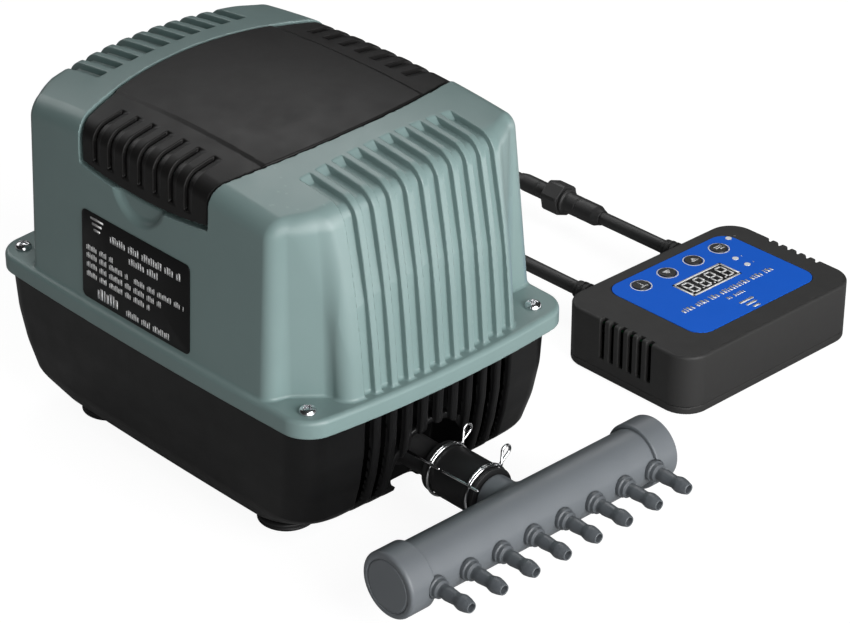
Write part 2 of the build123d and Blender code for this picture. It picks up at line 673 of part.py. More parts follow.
def rod_magnets():
    """Two magnets on each face of the carrier."""
    magnets = []
    for x, side in corners(9.0, 1):
        ys = sorted((side * 5.02, side * 9.0))
        magnets.append(block((x - 7.5, x + 7.5), ys, (AXLE_Z - 10, AXLE_Z + 10)))
    return Compound(children=magnets)


def diaphragm(side):
    """Rubber disc with a thick rim and one rounded fold."""
    disc = rod_x(DIAPHRAGM_RADIUS, side * 28.05, side * 31.95, z=AXLE_Z)
    disc = disc - rod_x(22, side * 20, side * 29.2, z=AXLE_Z) - rod_x(22, side * 30.8, side * 40, z=AXLE_Z)
    fold = Pos(side * 29.2, 0, AXLE_Z) * Rot(0, 90, 0) * Torus(17.0, 2.6)
    inner = Pos(side * 29.2, 0, AXLE_Z) * Rot(0, 90, 0) * Torus(17.0, 1.2)
    half = block(sorted((side * 29.2, side * 40)), (-40, 40), (AXLE_Z - 40, AXLE_Z + 40))
    disc = disc + (fold & half) - inner
    return disc - rod_x(ROD_END_RADIUS + RUN, side * 20, side * 40, z=AXLE_Z)


def clamp_discs():
    """Washers that grip the middle of each diaphragm."""
    discs = []
    for side in (-1, 1):
        for a, b in ((26.95, 29.15), (30.85, 33.0)):
            disc = rod_x(12.0, side * a, side * b, z=AXLE_Z)
            discs.append(disc - rod_x(ROD_END_RADIUS + RUN, side * 20, side * 40, z=AXLE_Z))
    return Compound(children=discs)


def rod_nuts():
    """Hexagon nut on each end of the rod."""
    nuts = []
    for side in (-1, 1):
        flat = extrude(RegularPolygon(5.4, 6), 3.6)
        start = 33.05 if side > 0 else -36.65
        nut = Pos(start, 0, AXLE_Z) * Rot(0, 90, 0) * flat
        nuts.append(nut - rod_x(ROD_END_RADIUS + RUN, side * 20, side * 40, z=AXLE_Z))
    return Compound(children=nuts)


def pump_head(side):
    """Chamber in front of a diaphragm, with the intake plenum above and the exhaust one below."""
    z = AXLE_Z
    body = block(sorted((side * 32.05, side * 54)), (-HEAD_HALF, HEAD_HALF), (z - HEAD_HALF, z + HEAD_HALF))
    body = body - rod_x(22, side * 30, side * 41, z=z)
    for low, high in ((z - 24, z - 3), (z + 3, z + 24)):
        body = body - block(sorted((side * 44, side * 60)), (-14, 14), (low, high))
    for pz in (z - 11, z + 11):
        body = body - rod_x(3.0, side * 38, side * 46, z=pz)
    body = body - rod_z(TUBE_RADIUS + RUN, z - HEAD_HALF - 2, z - 20, side * TUBE_X, 0)
    for py, pz in corners(HEAD_HALF - 5, HEAD_HALF - 5):
        body = body - rod_x(1.8, side * 20, side * 70, py, z + pz)
    return body


def head_covers():
    """Plates that close the heads, each with the air intake in its upper half."""
    plates = []
    for side in (-1, 1):
        x = sorted((side * 54.1, side * 58))
        plate = block(x, (-HEAD_HALF, HEAD_HALF), (AXLE_Z - HEAD_HALF, AXLE_Z + HEAD_HALF))
        plate = fillet(plate.edges().filter_by(Axis.X), 4)
        plate = plate - rod_x(6, side * 50, side * 60, z=AXLE_Z + 13)
        for py, pz in corners(HEAD_HALF - 5, HEAD_HALF - 5):
            plate = plate - rod_x(1.8, side * 20, side * 70, py, AXLE_Z + pz)
        plates.append(plate)
    return Compound(children=plates)


def valve_flap(side, intake):
    """Thin flap over a port: the intake one inside the chamber, the exhaust one in its plenum."""
    x = 40.15 if intake else 44.05
    z = AXLE_Z + (11 if intake else -11)
    out = 1 if intake else -1
    flap = rod_x(4.6, side * x, side * (x + 0.8), z=z)
    root = block(sorted((side * x, side * (x + 0.8))), (-3.5, 3.5), sorted((z, z + out * 6.5)))
    return flap + root


def head_screws():
    """Four screws through each cover and head into the frame."""
    screws = []
    for side in (-1, 1):
        turn = Rot(0, 90 * side, 0)
        for py, pz in corners(HEAD_HALF - 5, HEAD_HALF - 5):
            screw = turn * pan_head_screw(1.75, 34.0, 3.2, 2.2)
            screws.append(Pos(side * 58.02, py, AXLE_Z + pz) * screw)
    return Compound(children=screws)


def air_tubes():
    """Short rubber tubes from the exhaust plenums into the air chamber."""
    tubes = []
    for x in (-TUBE_X, TUBE_X):
        tube = rod_z(TUBE_RADIUS, TANK_TOP, AXLE_Z - HEAD_HALF + 4.5, x, 0)
        tubes.append(tube - rod_z(2.6, 0, 90, x, 0))
    return Compound(children=tubes)


def filter_foam():
    """Foam pad in the pan under the cover."""
    x, y, z = FILTER_SIZE
    pad = block((-x / 2, x / 2), (-y / 2, y / 2), (PAN_FLOOR_Z + GAP, PAN_FLOOR_Z + GAP + z))
    return fillet(pad.edges().filter_by(Axis.Z), 3)


# ---------------------------------------------------------------- controller
def case_outline(shrink):
    """Rounded outline of the controller in plan."""
    width, depth = CTRL_SIZE[0] - 2 * shrink, CTRL_SIZE[1] - 2 * shrink
    return Pos(CTRL_CENTRE[0], CTRL_CENTRE[1]) * RectangleRounded(width, depth, CTRL_CORNER - shrink)


def ctrl(x, y):
    """Place given from the controller's centre."""
    return (CTRL_CENTRE[0] + x, CTRL_CENTRE[1] + y)


def ctrl_posts():
    """Where the case screws stand."""
    return [ctrl(x, y) for x, y in corners(31.5, 49.5)]


def controller_top_case():
    """Upper shell with vents, screw posts, and openings for buttons, display and lamps."""
    top = CTRL_SIZE[2]
    shell = extrude(Pos(0, 0, CTRL_SPLIT) * case_outline(0.0), top - CTRL_SPLIT)
    shell = fillet(shell.faces().sort_by(Axis.Z)[-1].edges(), CTRL_EDGE)
    shell = shell - extrude(case_outline(CTRL_WALL), top - CTRL_WALL)
    shell = shell + fuse([rod_z(4.2, CTRL_SPLIT + 2, top - 1, x, y) for x, y in ctrl_posts()])
    for x, y in ctrl_posts():
        shell = shell - rod_z(1.5, 0, 20, x, y)
    ox, oy = ctrl(*OVERLAY_CENTRE)
    sheet = RectangleRounded(2 * OVERLAY_HALF[0] + 0.2, 2 * OVERLAY_HALF[1] + 0.2, OVERLAY_CORNER)
    shell = shell - extrude(Pos(ox, oy, top - OVERLAY_THICK - 0.02) * sheet, 5)
    half = CTRL_SIZE[1] / 2
    for i in range(VENT_COUNT):
        x = 1.2 + (i - (VENT_COUNT - 1) / 2) * VENT_PITCH
        for side in (-1, 1):
            ys = sorted((side * (half - 2.9), side * (half + 2)))
            (x0, y0), (x1, y1) = ctrl(x - VENT_WIDTH / 2, ys[0]), ctrl(x + VENT_WIDTH / 2, ys[1])
            shell = shell - block((x0, x1), (y0, y1), (VENT_LOW_Z, top + 1))
    for y in BUTTON_Y:
        bx, by = ctrl(BUTTON_X, y)
        shell = shell - rod_z(BUTTON_RADIUS + GAP, 20, 40, bx, by)
    for x, y in LED_XY:
        shell = shell - rod_z(1.6, 20, 40, *ctrl(x, y))
    dx, dy = ctrl(*DISPLAY_CENTRE)
    window = Box(2 * DISPLAY_HALF[0] + 0.2, 2 * DISPLAY_HALF[1] + 0.2, 20)
    shell = shell - Pos(dx, dy, top) * window
    for y in (LEAD_MAINS_Y, LEAD_PUMP_Y):
        shell = shell - rod_x(5.0, ctrl(-45, 0)[0], ctrl(-33, 0)[0], y, LEAD_Z)
    return shell


def controller_base():
    """Bottom plate with a raised lip, board posts and countersunk screw holes."""
    plate = extrude(case_outline(0.0), CTRL_SPLIT - 0.1)
    plate = fillet(plate.faces().sort_by(Axis.Z)[0].edges(), 1.5)
    lip = extrude(Pos(0, 0, 2) * (case_outline(CTRL_WALL + 0.1) - case_outline(CTRL_WALL + 1.6)), 4)
    solid = plate + lip
    for x, y in corners(24, 30):
        solid = solid + rod_z(3, 3, BOARD_Z - 1.65, *ctrl(x, y))
    for x, y in ctrl_posts():
        solid = solid - rod_z(4.4, CTRL_SPLIT - 0.1, 20, x, y)
        solid = solid - rod_z(1.6, -1, 20, x, y) - rod_z(3.2, -1, 2.0, x, y)
    return solid


def controller_screws():
    """Four case screws, driven from below."""
    screw = Rot(180, 0, 0) * pan_head_screw(1.45, 15.0, 2.9, 1.6)
    return Compound(children=[Pos(x, y, 1.98) * screw for x, y in ctrl_posts()])


def control_overlay():
    """Printed sheet let into the top, with openings for buttons, lamps and display."""
    x, y = ctrl(*OVERLAY_CENTRE)
    sheet = Pos(x, y, CTRL_SIZE[2] - OVERLAY_THICK) * RectangleRounded(
        2 * OVERLAY_HALF[0], 2 * OVERLAY_HALF[1], OVERLAY_CORNER)
    solid = extrude(sheet, OVERLAY_THICK)
    for by in BUTTON_Y:
        solid = solid - rod_z(BUTTON_RADIUS + GAP, 20, 40, *ctrl(BUTTON_X, by))
    for lx, ly in LED_XY:
        solid = solid - rod_z(1.6, 20, 40, *ctrl(lx, ly))
    dx, dy = ctrl(*DISPLAY_CENTRE)
    return solid - Pos(dx, dy, CTRL_SIZE[2]) * Box(
        2 * DISPLAY_HALF[0] + 0.2, 2 * DISPLAY_HALF[1] + 0.2, 20)


def display_module():
    """Block with the four digits, standing on the board and filling the window."""
    x, y = ctrl(*DISPLAY_CENTRE)
    high = CTRL_SIZE[2] - 0.2
    middle = (BOARD_Z + 0.05 + high) / 2
    return Pos(x, y, middle) * Box(2 * DISPLAY_HALF[0], 2 * DISPLAY_HALF[1], high - BOARD_Z - 0.05)


def circuit_board():
    """Board with a power block, a capacitor and one switch body under each button."""
    x0, y0 = ctrl(-32, -44)
    x1, y1 = ctrl(32, 44)
    board = block((x0, x1), (y0, y1), (BOARD_Z - 1.6, BOARD_Z))
    for px, py in ctrl_posts():
        board = board - rod_z(5.0, 0, 40, px, py)
    for by in BUTTON_Y:
        bx, cy = ctrl(BUTTON_X, by)
        switch_z = (BOARD_Z - 0.5, BUTTON_LOW_Z - BUTTON_TRAVEL - 0.1)
        board = board + block((bx - 3, bx + 3), (cy - 3, cy + 3), switch_z)
    power_x, power_y = ctrl(14, -28)
    board = board + Pos(power_x, power_y, BOARD_Z + 2.4) * Box(22, 18, 5.6)
    return board + rod_z(4.0, BOARD_Z - 0.5, BOARD_Z + 5.5, *ctrl(-8, -30))


def control_button(y):
    """Round key cap with a slightly domed top."""
    bx, by = ctrl(BUTTON_X, y)
    cap = rod_z(BUTTON_RADIUS, BUTTON_LOW_Z, CTRL_SIZE[2] + 0.6, bx, by)
    return fillet(cap.faces().sort_by(Axis.Z)[-1].edges(), 0.55)


def indicator_leds():
    """Three small lamps in the overlay."""
    lamps = []
    for x, y in LED_XY:
        lamp = rod_z(1.5, BOARD_Z + 0.05, CTRL_SIZE[2] + 0.1, *ctrl(x, y))
        lamps.append(lamp)
    return Compound(children=lamps)


# ---------------------------------------------------------------- leads
def strain_relief(y):
    """Ribbed rubber boot in the controller's side wall."""
    wall = ctrl(-CTRL_SIZE[0] / 2, 0)[0]
    boot = rod_x(4.95, wall - 1, wall + 4, y, LEAD_Z)
    boot = boot + rod_x(6.6, wall - 2.6, wall - 0.05, y, LEAD_Z)
    length = 17.0
    taper = Pos(wall - 2.6 - length / 2, y, LEAD_Z) * Rot(0, -90, 0) * Cone(5.6, 4.4, length)
    boot = boot + taper
    for i in range(5):
        x = wall - 5.2 - 3.0 * i
        ring = rod_x(7, x - 1.4, x, y, LEAD_Z) - rod_x(4.3, x - 2, x + 1, y, LEAD_Z)
        boot = boot - ring
    return boot - rod_x(LEAD_RADIUS + RUN, wall - 30, wall + 6, y, LEAD_Z)


def strain_reliefs():
    """One boot for each lead."""
    return Compound(children=[strain_relief(y) for y in (LEAD_MAINS_Y, LEAD_PUMP_Y)])


def lead(points_x, y):
    """Straight round lead between two x positions."""
    return rod_x(LEAD_RADIUS, *points_x, y, LEAD_Z)


def connector_plug():
    """Cable half of the waterproof connector: a round body with a collar and a tapered tail."""
    x0, x1 = PLUG_X
    y, z = LEAD_PUMP_Y, LEAD_Z
    taper = 3.7
    body = rod_x(PLUG_RADIUS, x0 - 4.4, x1 - taper, y, z)
    body = body + rod_x(PLUG_COLLAR_RADIUS, x0 + 0.2, x0 + 1.6, y, z)
    tail = Pos(x1 - taper / 2, y, z) * Rot(0, 90, 0) * Cone(PLUG_RADIUS, LEAD_RADIUS + 0.4, taper)
    return body + tail - rod_x(LEAD_RADIUS + RUN, x0, x1 + 1, y, z)


def connector_nut():
    """Union nut with six flats that turns freely on the two halves."""
    x0, x1 = NUT_X
    y, z = LEAD_PUMP_Y, LEAD_Z
    prism = Pos(x0, y, z) * Rot(0, 90, 0) * Rot(0, 0, NUT_TURN) * extrude(
        RegularPolygon(NUT_RADIUS, 6), x1 - x0)
    nut = prism & rod_x(NUT_RADIUS - 0.4, x0, x1, y, z)
    nut = nut - rod_x(NUT_BORE_RADIUS, x0 + NUT_LIP, x1 + 1, y, z)
    return nut - rod_x(SOCKET_RADIUS + 0.26, x0 - 1, x0 + NUT_LIP, y, z)


def connector_socket():
    """Pump half of the waterproof connector: a slim body with a flange inside the nut."""
    x0, x1 = SOCKET_X
    y, z = LEAD_PUMP_Y, LEAD_Z
    taper = 3.7
    flange_x = x1 + NUT_LIP + 0.2
    body = rod_x(SOCKET_RADIUS, x0 + taper, flange_x + 1, y, z)
    body = body + rod_x(PLUG_RADIUS, flange_x, PLUG_X[0] - 4.6, y, z)
    tail = Pos(x0 + taper / 2, y, z) * Rot(0, 90, 0) * Cone(LEAD_RADIUS + 0.4, SOCKET_RADIUS, taper)
    return body + tail - rod_x(LEAD_RADIUS + RUN, x0 - 1, x1, y, z)


def output_cable():
    """Lead from the controller to the connector plug."""
    inside = ctrl(-CTRL_SIZE[0] / 2 + 5.5, 0)[0]
    return lead((PLUG_X[0] + 1, inside), LEAD_PUMP_Y)


def pump_cord():
    """Lead from the connector socket round to the back of the pump and in through its grommet."""
    bend = 14.0
    start = (SOCKET_X[1], LEAD_PUMP_Y, LEAD_Z)
    turn_x = CORD_TURN_X
    straight = Line(start, (turn_x, LEAD_PUMP_Y, LEAD_Z))
    mid = bend * math.sin(math.radians(45))
    arc = ThreePointArc(
        (turn_x, LEAD_PUMP_Y, LEAD_Z), (turn_x - mid, LEAD_PUMP_Y - bend + mid, LEAD_Z),
        (turn_x - bend, LEAD_PUMP_Y - bend, LEAD_Z))
    down = Line((turn_x - bend, LEAD_PUMP_Y - bend, LEAD_Z), (turn_x - bend, 170, LEAD_Z))
    sweep_in = Spline(
        (turn_x - bend, 170, LEAD_Z), (CORD_X, 96, CORD_Z), tangents=[(0, -1, 0), (0, -1, 0)])
    tail = Line((CORD_X, 96, CORD_Z), (CORD_X, 56, CORD_Z))
    path = Wire([straight, arc, down, sweep_in, tail])
    section = Plane(origin=start, z_dir=(-1, 0, 0)) * Circle(LEAD_RADIUS)
    return sweep(section, path=path)


def cord_grommet():
    """Strain relief where the lead enters the tub."""
    neck = rod_y(6.0 - RUN, 62, 73, CORD_X, CORD_Z)
    head = rod_y(8.5, 70.5, 74, CORD_X, CORD_Z)
    tail = Pos(CORD_X, 82, CORD_Z) * Rot(-90, 0, 0) * Cone(6.2, 4.4, 16)
    boot = neck + head + tail
    for i in range(4):
        y = 77 + 3.2 * i
        boot = boot - (rod_y(8, y, y + 1.4, CORD_X, CORD_Z) - rod_y(4.3, y - 1, y + 3, CORD_X, CORD_Z))
    return boot - rod_y(LEAD_RADIUS + RUN, 50, 100, CORD_X, CORD_Z)


def mains_cable():
    """Lead from the controller to the mains plug."""
    inside = ctrl(-CTRL_SIZE[0] / 2 + 5.5, 0)[0]
    return lead((MAINS_PLUG_X[1] - 8, inside), LEAD_MAINS_Y)


def mains_plug():
    """Moulded two-blade plug body."""
    x0, x1 = MAINS_PLUG_X
    y, z = LEAD_MAINS_Y, LEAD_Z
    body = block((x0, x0 + 24), (y - 12.5, y + 12.5), (z - 9, z + 9))
    body = fillet(body.edges().filter_by(Axis.X), 5)
    neck = Pos((x0 + 24 + x1) / 2, y, z) * Rot(0, 90, 0) * Cone(7.6, 4.6, x1 - x0 - 24)
    solid = body + neck
    for blade in (-6.35, 6.35):
        solid = solid - block((x0 - 1, x0 + 8), (y + blade - 0.8, y + blade + 0.8), (z - 3.25, z + 3.25))
    return solid - rod_x(LEAD_RADIUS + RUN, x1 - 8.2, x1 + 1, y, z)


def plug_pins():
    """The two blades."""
    x0 = MAINS_PLUG_X[0]
    blades = []
    for y in (-6.35, 6.35):
        mid = LEAD_MAINS_Y + y
        blades.append(block((x0 - 16, x0 + 7.9), (mid - 0.75, mid + 0.75), (LEAD_Z - 3.2, LEAD_Z + 3.2)))
    return Compound(children=blades)


NODES = {
    "upper_housing": upper_housing,
    "filter_cover": filter_cover,
    "filter_foam": filter_foam,
    "lower_housing": lower_housing,
    "housing_gasket": housing_gasket,
    "housing_screws": housing_screws,
    "rubber_feet": rubber_feet,
    "foot_screws": foot_screws,
    "rating_label": rating_label,
    "outlet_nipple": outlet_nipple,
    "outlet_hose": outlet_hose,
    "hose_clamp_inner": lambda: hose_clamp(CLAMP_X[0]),
    "hose_clamp_outer": lambda: hose_clamp(CLAMP_X[1]),
    "manifold_tube": manifold_tube,
    "manifold_cap_front": lambda: manifold_cap(-1),
    "manifold_cap_rear": lambda: manifold_cap(1),
    "manifold_barbs": manifold_barbs,
    "tank_gasket": tank_gasket,
    "tank_lid": tank_lid,
    "tank_screws": tank_screws,
    "vibration_mounts": vibration_mounts,
    "motor_frame": motor_frame,
    "stator_cores": stator_cores,
    "coil_windings": coil_windings,
    "drive_rod": drive_rod,
    "rod_magnets": rod_magnets,
    "diaphragm_left": lambda: diaphragm(-1),
    "diaphragm_right": lambda: diaphragm(1),
    "clamp_discs": clamp_discs,
    "rod_nuts": rod_nuts,
    "pump_head_left": lambda: pump_head(-1),
    "pump_head_right": lambda: pump_head(1),
    "head_covers": head_covers,
    "head_screws": head_screws,
    "intake_valve_left": lambda: valve_flap(-1, True),
    "intake_valve_right": lambda: valve_flap(1, True),
    "exhaust_valve_left": lambda: valve_flap(-1, False),
    "exhaust_valve_right": lambda: valve_flap(1, False),
    "air_tubes": air_tubes,
    "cord_grommet": cord_grommet,
    "pump_cord": pump_cord,
    "connector_socket": connector_socket,
    "connector_nut": connector_nut,
    "connector_plug": connector_plug,
    "output_cable": output_cable,
    "controller_top_case": controller_top_case,
    "controller_base": controller_base,
    "controller_screws": controller_screws,
    "control_overlay": control_overlay,
    "display_module": display_module,
    "circuit_board": circuit_board,
    "indicator_leds": indicator_leds,
    "button_power": lambda: control_button(BUTTON_Y[0]),
    "button_down": lambda: control_button(BUTTON_Y[1]),
    "button_up": lambda: control_button(BUTTON_Y[2]),
    "button_mode": lambda: control_button(BUTTON_Y[3]),
    "strain_reliefs": strain_reliefs,
    "mains_cable": mains_cable,
    "mains_plug": mains_plug,
    "plug_pins": plug_pins,
}

os.makedirs("parts", exist_ok=True)
to_origin = Pos(-SET_CENTRE_X, -SET_CENTRE_Y, 0)
for name, build in NODES.items():
    solids = [to_origin * solid for solid in build().solids()]
    node = solids[0] if len(solids) == 1 else Compound(children=solids)
    export_step(node, f"parts/{name}.step")
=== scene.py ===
import math

import bpy
import numpy as np
from mathutils import Matrix, Vector


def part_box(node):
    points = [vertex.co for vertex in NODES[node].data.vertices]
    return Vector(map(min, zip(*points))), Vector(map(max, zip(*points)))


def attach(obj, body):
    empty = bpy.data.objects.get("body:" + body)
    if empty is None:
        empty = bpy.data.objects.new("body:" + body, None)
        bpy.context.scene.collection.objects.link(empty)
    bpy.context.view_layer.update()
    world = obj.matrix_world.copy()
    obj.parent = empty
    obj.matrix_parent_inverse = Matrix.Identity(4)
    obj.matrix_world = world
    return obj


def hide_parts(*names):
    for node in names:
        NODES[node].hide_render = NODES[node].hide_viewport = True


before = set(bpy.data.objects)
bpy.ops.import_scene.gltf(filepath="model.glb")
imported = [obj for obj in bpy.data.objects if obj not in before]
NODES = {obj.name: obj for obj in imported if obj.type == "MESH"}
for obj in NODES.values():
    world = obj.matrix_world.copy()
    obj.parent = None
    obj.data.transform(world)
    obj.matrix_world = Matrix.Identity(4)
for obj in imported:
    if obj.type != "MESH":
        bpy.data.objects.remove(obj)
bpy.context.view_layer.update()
MM = 0.001


# ================ places taken from the CAD model, in mm
def box_mm(node):
    """Lowest and highest corner of a CAD node."""
    low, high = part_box(node)
    return np.array(low) / MM, np.array(high) / MM


def middle(node):
    low, high = box_mm(node)
    return (low + high) / 2


PUMP = middle("rubber_feet")[:2]
CONTROLLER = middle("controller_top_case")[:2]

# ================ sizes of the mouldings, in mm
FLANGE_LOW, FLANGE_TOP, FLANGE_SHIFT = 64.2, 72.3, 2.1
FLANGE_HALF, FLANGE_PULL, FLANGE_CORNER = (106.96, 75.28), (4.5, 1.8), 11.7
WALL_SIDE, WALL_FRONT = 5.6, 7.0
DOME_BASE = 58.3
LOWER_WALL_REACH, LOWER_WALL_BOW, LOWER_WALL_DRAFT = 104.06, 400.0, 0.083
UPPER_WALL_REACH, UPPER_WALL_BOW, UPPER_WALL_DRAFT = 110.53, 290.0, 0.193
FRONT_WALL_REACH, FRONT_WALL_BOW, FRONT_WALL_DRAFT = 71.23, 3000.0, 0.052
REAR_WALL_REACH, REAR_WALL_DRAFT = 79.10, 0.114
CROWN_Y, CROWN_Z, CROWN_ALONG_X, CROWN_ALONG_Y = 15.8, 162.79, 646.0, 350.0
SHOULDER_ROUND = 7.0
CORNER_ROUND = 6.0
CREASE_ROUND = 2.5

POCKET_NEAR = (78.8, 61.5)
POCKET_FAR = (90.6, 47.8)
SCREW_XY = (93.4, 61.9)
SCREW_POST_RADIUS, SCREW_HOLE_RADIUS = 7.4, 2.05

RIB_COUNT, RIB_PITCH, RIB_FIRST_Y = 10, 8.35, -35.98
RIB_HALF_WIDTH, RIB_DEPTH, RIB_INNER_X = 2.6, 3.0, 64.0

WELL_HALF, WELL_FLOOR, SLOT_PITCH = 35.5, 138.0, 9.0

COVER_HALF, COVER_BOW = 52.3, 0.00272
COVER_EDGE_Z, COVER_EDGE_RADIUS = 131.2, 245.0
COVER_GAP, COVER_THICK = 1.1, 3.4
COVER_PITCH, COVER_HALF_WIDTH, COVER_DEPTH = 9.8, 2.4, 1.5
SLIT_OFFSET, SLIT_HALF_WIDTH, SLIT_DEPTH = 1.65, 0.6, 2.9
COVER_STEP, COVER_STEP_Y, COVER_GROOVE_Y, COVER_GROOVE_Z = 0.7, 41.4, 50.0, 137.0
NOTCH_X, NOTCH_Z, NOTCH_RADIUS, NOTCH_DEPTH = -2.4, 137.5, 17.5, 2.4

TUB_SECTIONS = ((8.0, 84.3, 62.8, 24.0), (17.0, 94.6, 67.0, 13.5), (31.0, 98.8, 69.0, 12.5),
                (46.0, 101.4, 70.3, 12.0), (63.3, 102.4, 70.9, 12.0))
TUB_LOW, TUB_TOP, TUB_WALL = 8.0, 63.3, 3.0
TANK_HALF, TANK_TOP = (72, 46), 40
PORT_Z = 25.7
RECESS_RADIUS, RECESS_X = 18.5, 78.0
CORD_XZ = (-70, 30)
FOOT_XY = (59.4, 45.6)
LABEL_CENTRE, LABEL_THICK = (-4.3, 94.4), 0.40
HOSE_RADIUS = 11.35
CLAMP_X, CLAMP_WIRE = (107.5, 130.0), 0.62
CLAMP_TAIL, CLAMP_EAR = math.radians(145), math.radians(56)
CLAMP_RING = HOSE_RADIUS + 0.25
TAIL_LIFT = 1.3
MANIFOLD_X = 152.5

QUICK = 1.0


# ================ distance fields
def both(a, b, r=0.0):
    """Overlap of two solids, with an edge radius."""
    u = np.maximum(a + r, 0)
    v = np.maximum(b + r, 0)
    return np.minimum(np.maximum(a, b), -r) + np.sqrt(u * u + v * v)


def join(a, b, r=0.0):
    """Union of two solids, with a fillet."""
    return -both(-a, -b, r)


def cut(a, b, r=0.0):
    """The first solid without the second, with an edge radius."""
    return both(a, -b, r)


def slab(v, low, high):
    return both(low - v, v - high)


def brick(x, y, z, xs, ys, zs):
    return np.maximum(np.maximum(slab(x, *xs), slab(y, *ys)), slab(z, *zs))


def bowed(x, y, half_x, half_y, pull_x, pull_y, corner):
    """Plan outline: a rounded rectangle whose sides bow outwards."""
    chord_y = 70.0 - pull_y
    chord_x = 100.0 - pull_x
    bow_x = (chord_y ** 2 + pull_x ** 2) / (2 * pull_x)
    bow_y = (chord_x ** 2 + pull_y ** 2) / (2 * pull_y)
    side = np.hypot(np.abs(x) - (half_x - bow_x), y) - bow_x
    front = np.hypot(x, np.abs(y) - (half_y - bow_y)) - bow_y
    return both(side, front, corner)


def dome(x, y, z, side=0.0, front=0.0, top=0.0):
    """The plain dome, its walls moved inwards by the given amounts."""
    ax, rise = np.abs(x), z - DOME_BASE
    lower = np.hypot(ax - (LOWER_WALL_REACH - side - LOWER_WALL_BOW), y)
    lower = lower - (LOWER_WALL_BOW - LOWER_WALL_DRAFT * rise)
    upper = np.hypot(ax - (UPPER_WALL_REACH - side - UPPER_WALL_BOW), y)
    upper = (upper - (UPPER_WALL_BOW - UPPER_WALL_DRAFT * rise)) * 0.98
    near = np.hypot(-y - (FRONT_WALL_REACH - front - FRONT_WALL_BOW), x)
    near = near - (FRONT_WALL_BOW - FRONT_WALL_DRAFT * rise)
    far = np.hypot(y - (REAR_WALL_REACH - front - FRONT_WALL_BOW), x)
    far = far - (FRONT_WALL_BOW - REAR_WALL_DRAFT * rise)
    ring = np.hypot(x, z - (CROWN_Z - top - CROWN_ALONG_X)) - (CROWN_ALONG_X - CROWN_ALONG_Y)
    crown = np.hypot(ring, y - CROWN_Y) - CROWN_ALONG_Y
    form = both(both(lower, upper, CREASE_ROUND), np.maximum(near, far), CORNER_ROUND)
    return both(form, crown, SHOULDER_ROUND)


def corner_pocket(x, y):
    """Clearance above each flange screw: two straight walls joined by a diagonal one."""
    ax, ay = np.abs(x), np.abs(y)
    run = np.subtract(POCKET_FAR, POCKET_NEAR)
    nx, ny = np.array([-run[1], run[0]]) / np.hypot(*run)
    diagonal = -(nx * (ax - POCKET_NEAR[0]) + ny * (ay - POCKET_NEAR[1]))
    return both(both(POCKET_NEAR[0] - ax, diagonal, 2.0), POCKET_FAR[1] - ay, 2.0)


def rib_offset(y):
    """Distance from the middle of the nearest side groove."""
    index = np.clip(np.round((y - RIB_FIRST_Y) / RIB_PITCH), 0, RIB_COUNT - 1)
    return np.abs(y - (RIB_FIRST_Y + index * RIB_PITCH))


def cover_plan(x, y, z, grow):
    half = COVER_HALF + grow - COVER_BOW * y * y
    low = COVER_EDGE_Z - grow
    edge = np.hypot(x, z - (low + COVER_EDGE_RADIUS)) - COVER_EDGE_RADIUS
    return both(np.abs(x) - half, edge, 1.2)


def housing_field(x, y, z):
    skin = dome(x, y, z)
    solid = cut(skin, corner_pocket(x, y), CORNER_ROUND)
    ax, ay = np.abs(x), np.abs(y)

    ramp = (RIB_INNER_X - ax - skin) * 0.707
    groove = both(rib_offset(y) - RIB_HALF_WIDTH, -(skin + RIB_DEPTH), 0.35)
    solid = cut(solid, both(groove, ramp, 0.3), 0.45)

    recess = np.maximum(cover_plan(x, y, z, COVER_GAP), -(skin + COVER_THICK + 0.1))
    solid = cut(solid, recess, 0.3)
    scoop = np.hypot(x - NOTCH_X, z - NOTCH_Z) - (NOTCH_RADIUS + 0.9 * skin)
    scoop = np.maximum(both(scoop, -(skin + NOTCH_DEPTH), 1.2), y)
    solid = cut(solid, scoop, 1.2)
    solid = np.maximum(solid, FLANGE_LOW + 2 - z)

    plate = bowed(x, y - FLANGE_SHIFT, *FLANGE_HALF, *FLANGE_PULL, FLANGE_CORNER)
    plate = both(both(plate, z - FLANGE_TOP, 2.2), FLANGE_LOW - z, 0.6)
    solid = join(solid, plate, 1.4)

    hollow = dome(x, y, z, WALL_SIDE, WALL_FRONT, WALL_FRONT)
    hollow = np.maximum(hollow, 3.0 - corner_pocket(x, y))
    post = np.hypot(ax - SCREW_XY[0], ay - SCREW_XY[1])
    hollow = np.maximum(hollow, SCREW_POST_RADIUS - post)
    around, inside = (-WELL_HALF - 2.5, WELL_HALF + 2.5), (-WELL_HALF, WELL_HALF)
    hollow = cut(hollow, brick(x, y, z, around, around, (WELL_FLOOR - 2.5, 200)))
    solid = cut(solid, hollow)
    solid = cut(solid, brick(x, y, z, inside, inside, (WELL_FLOOR, 200)), 0.4)
    slot_x = np.abs(x - SLOT_PITCH * np.clip(np.round(x / SLOT_PITCH), -3, 3)) - 2.5
    slots = np.maximum(np.maximum(slot_x, ay - 26), slab(z, WELL_FLOOR - 5, WELL_FLOOR + 1))
    solid = cut(solid, slots, 0.3)
    return cut(solid, np.maximum(post - SCREW_HOLE_RADIUS, z - 100))


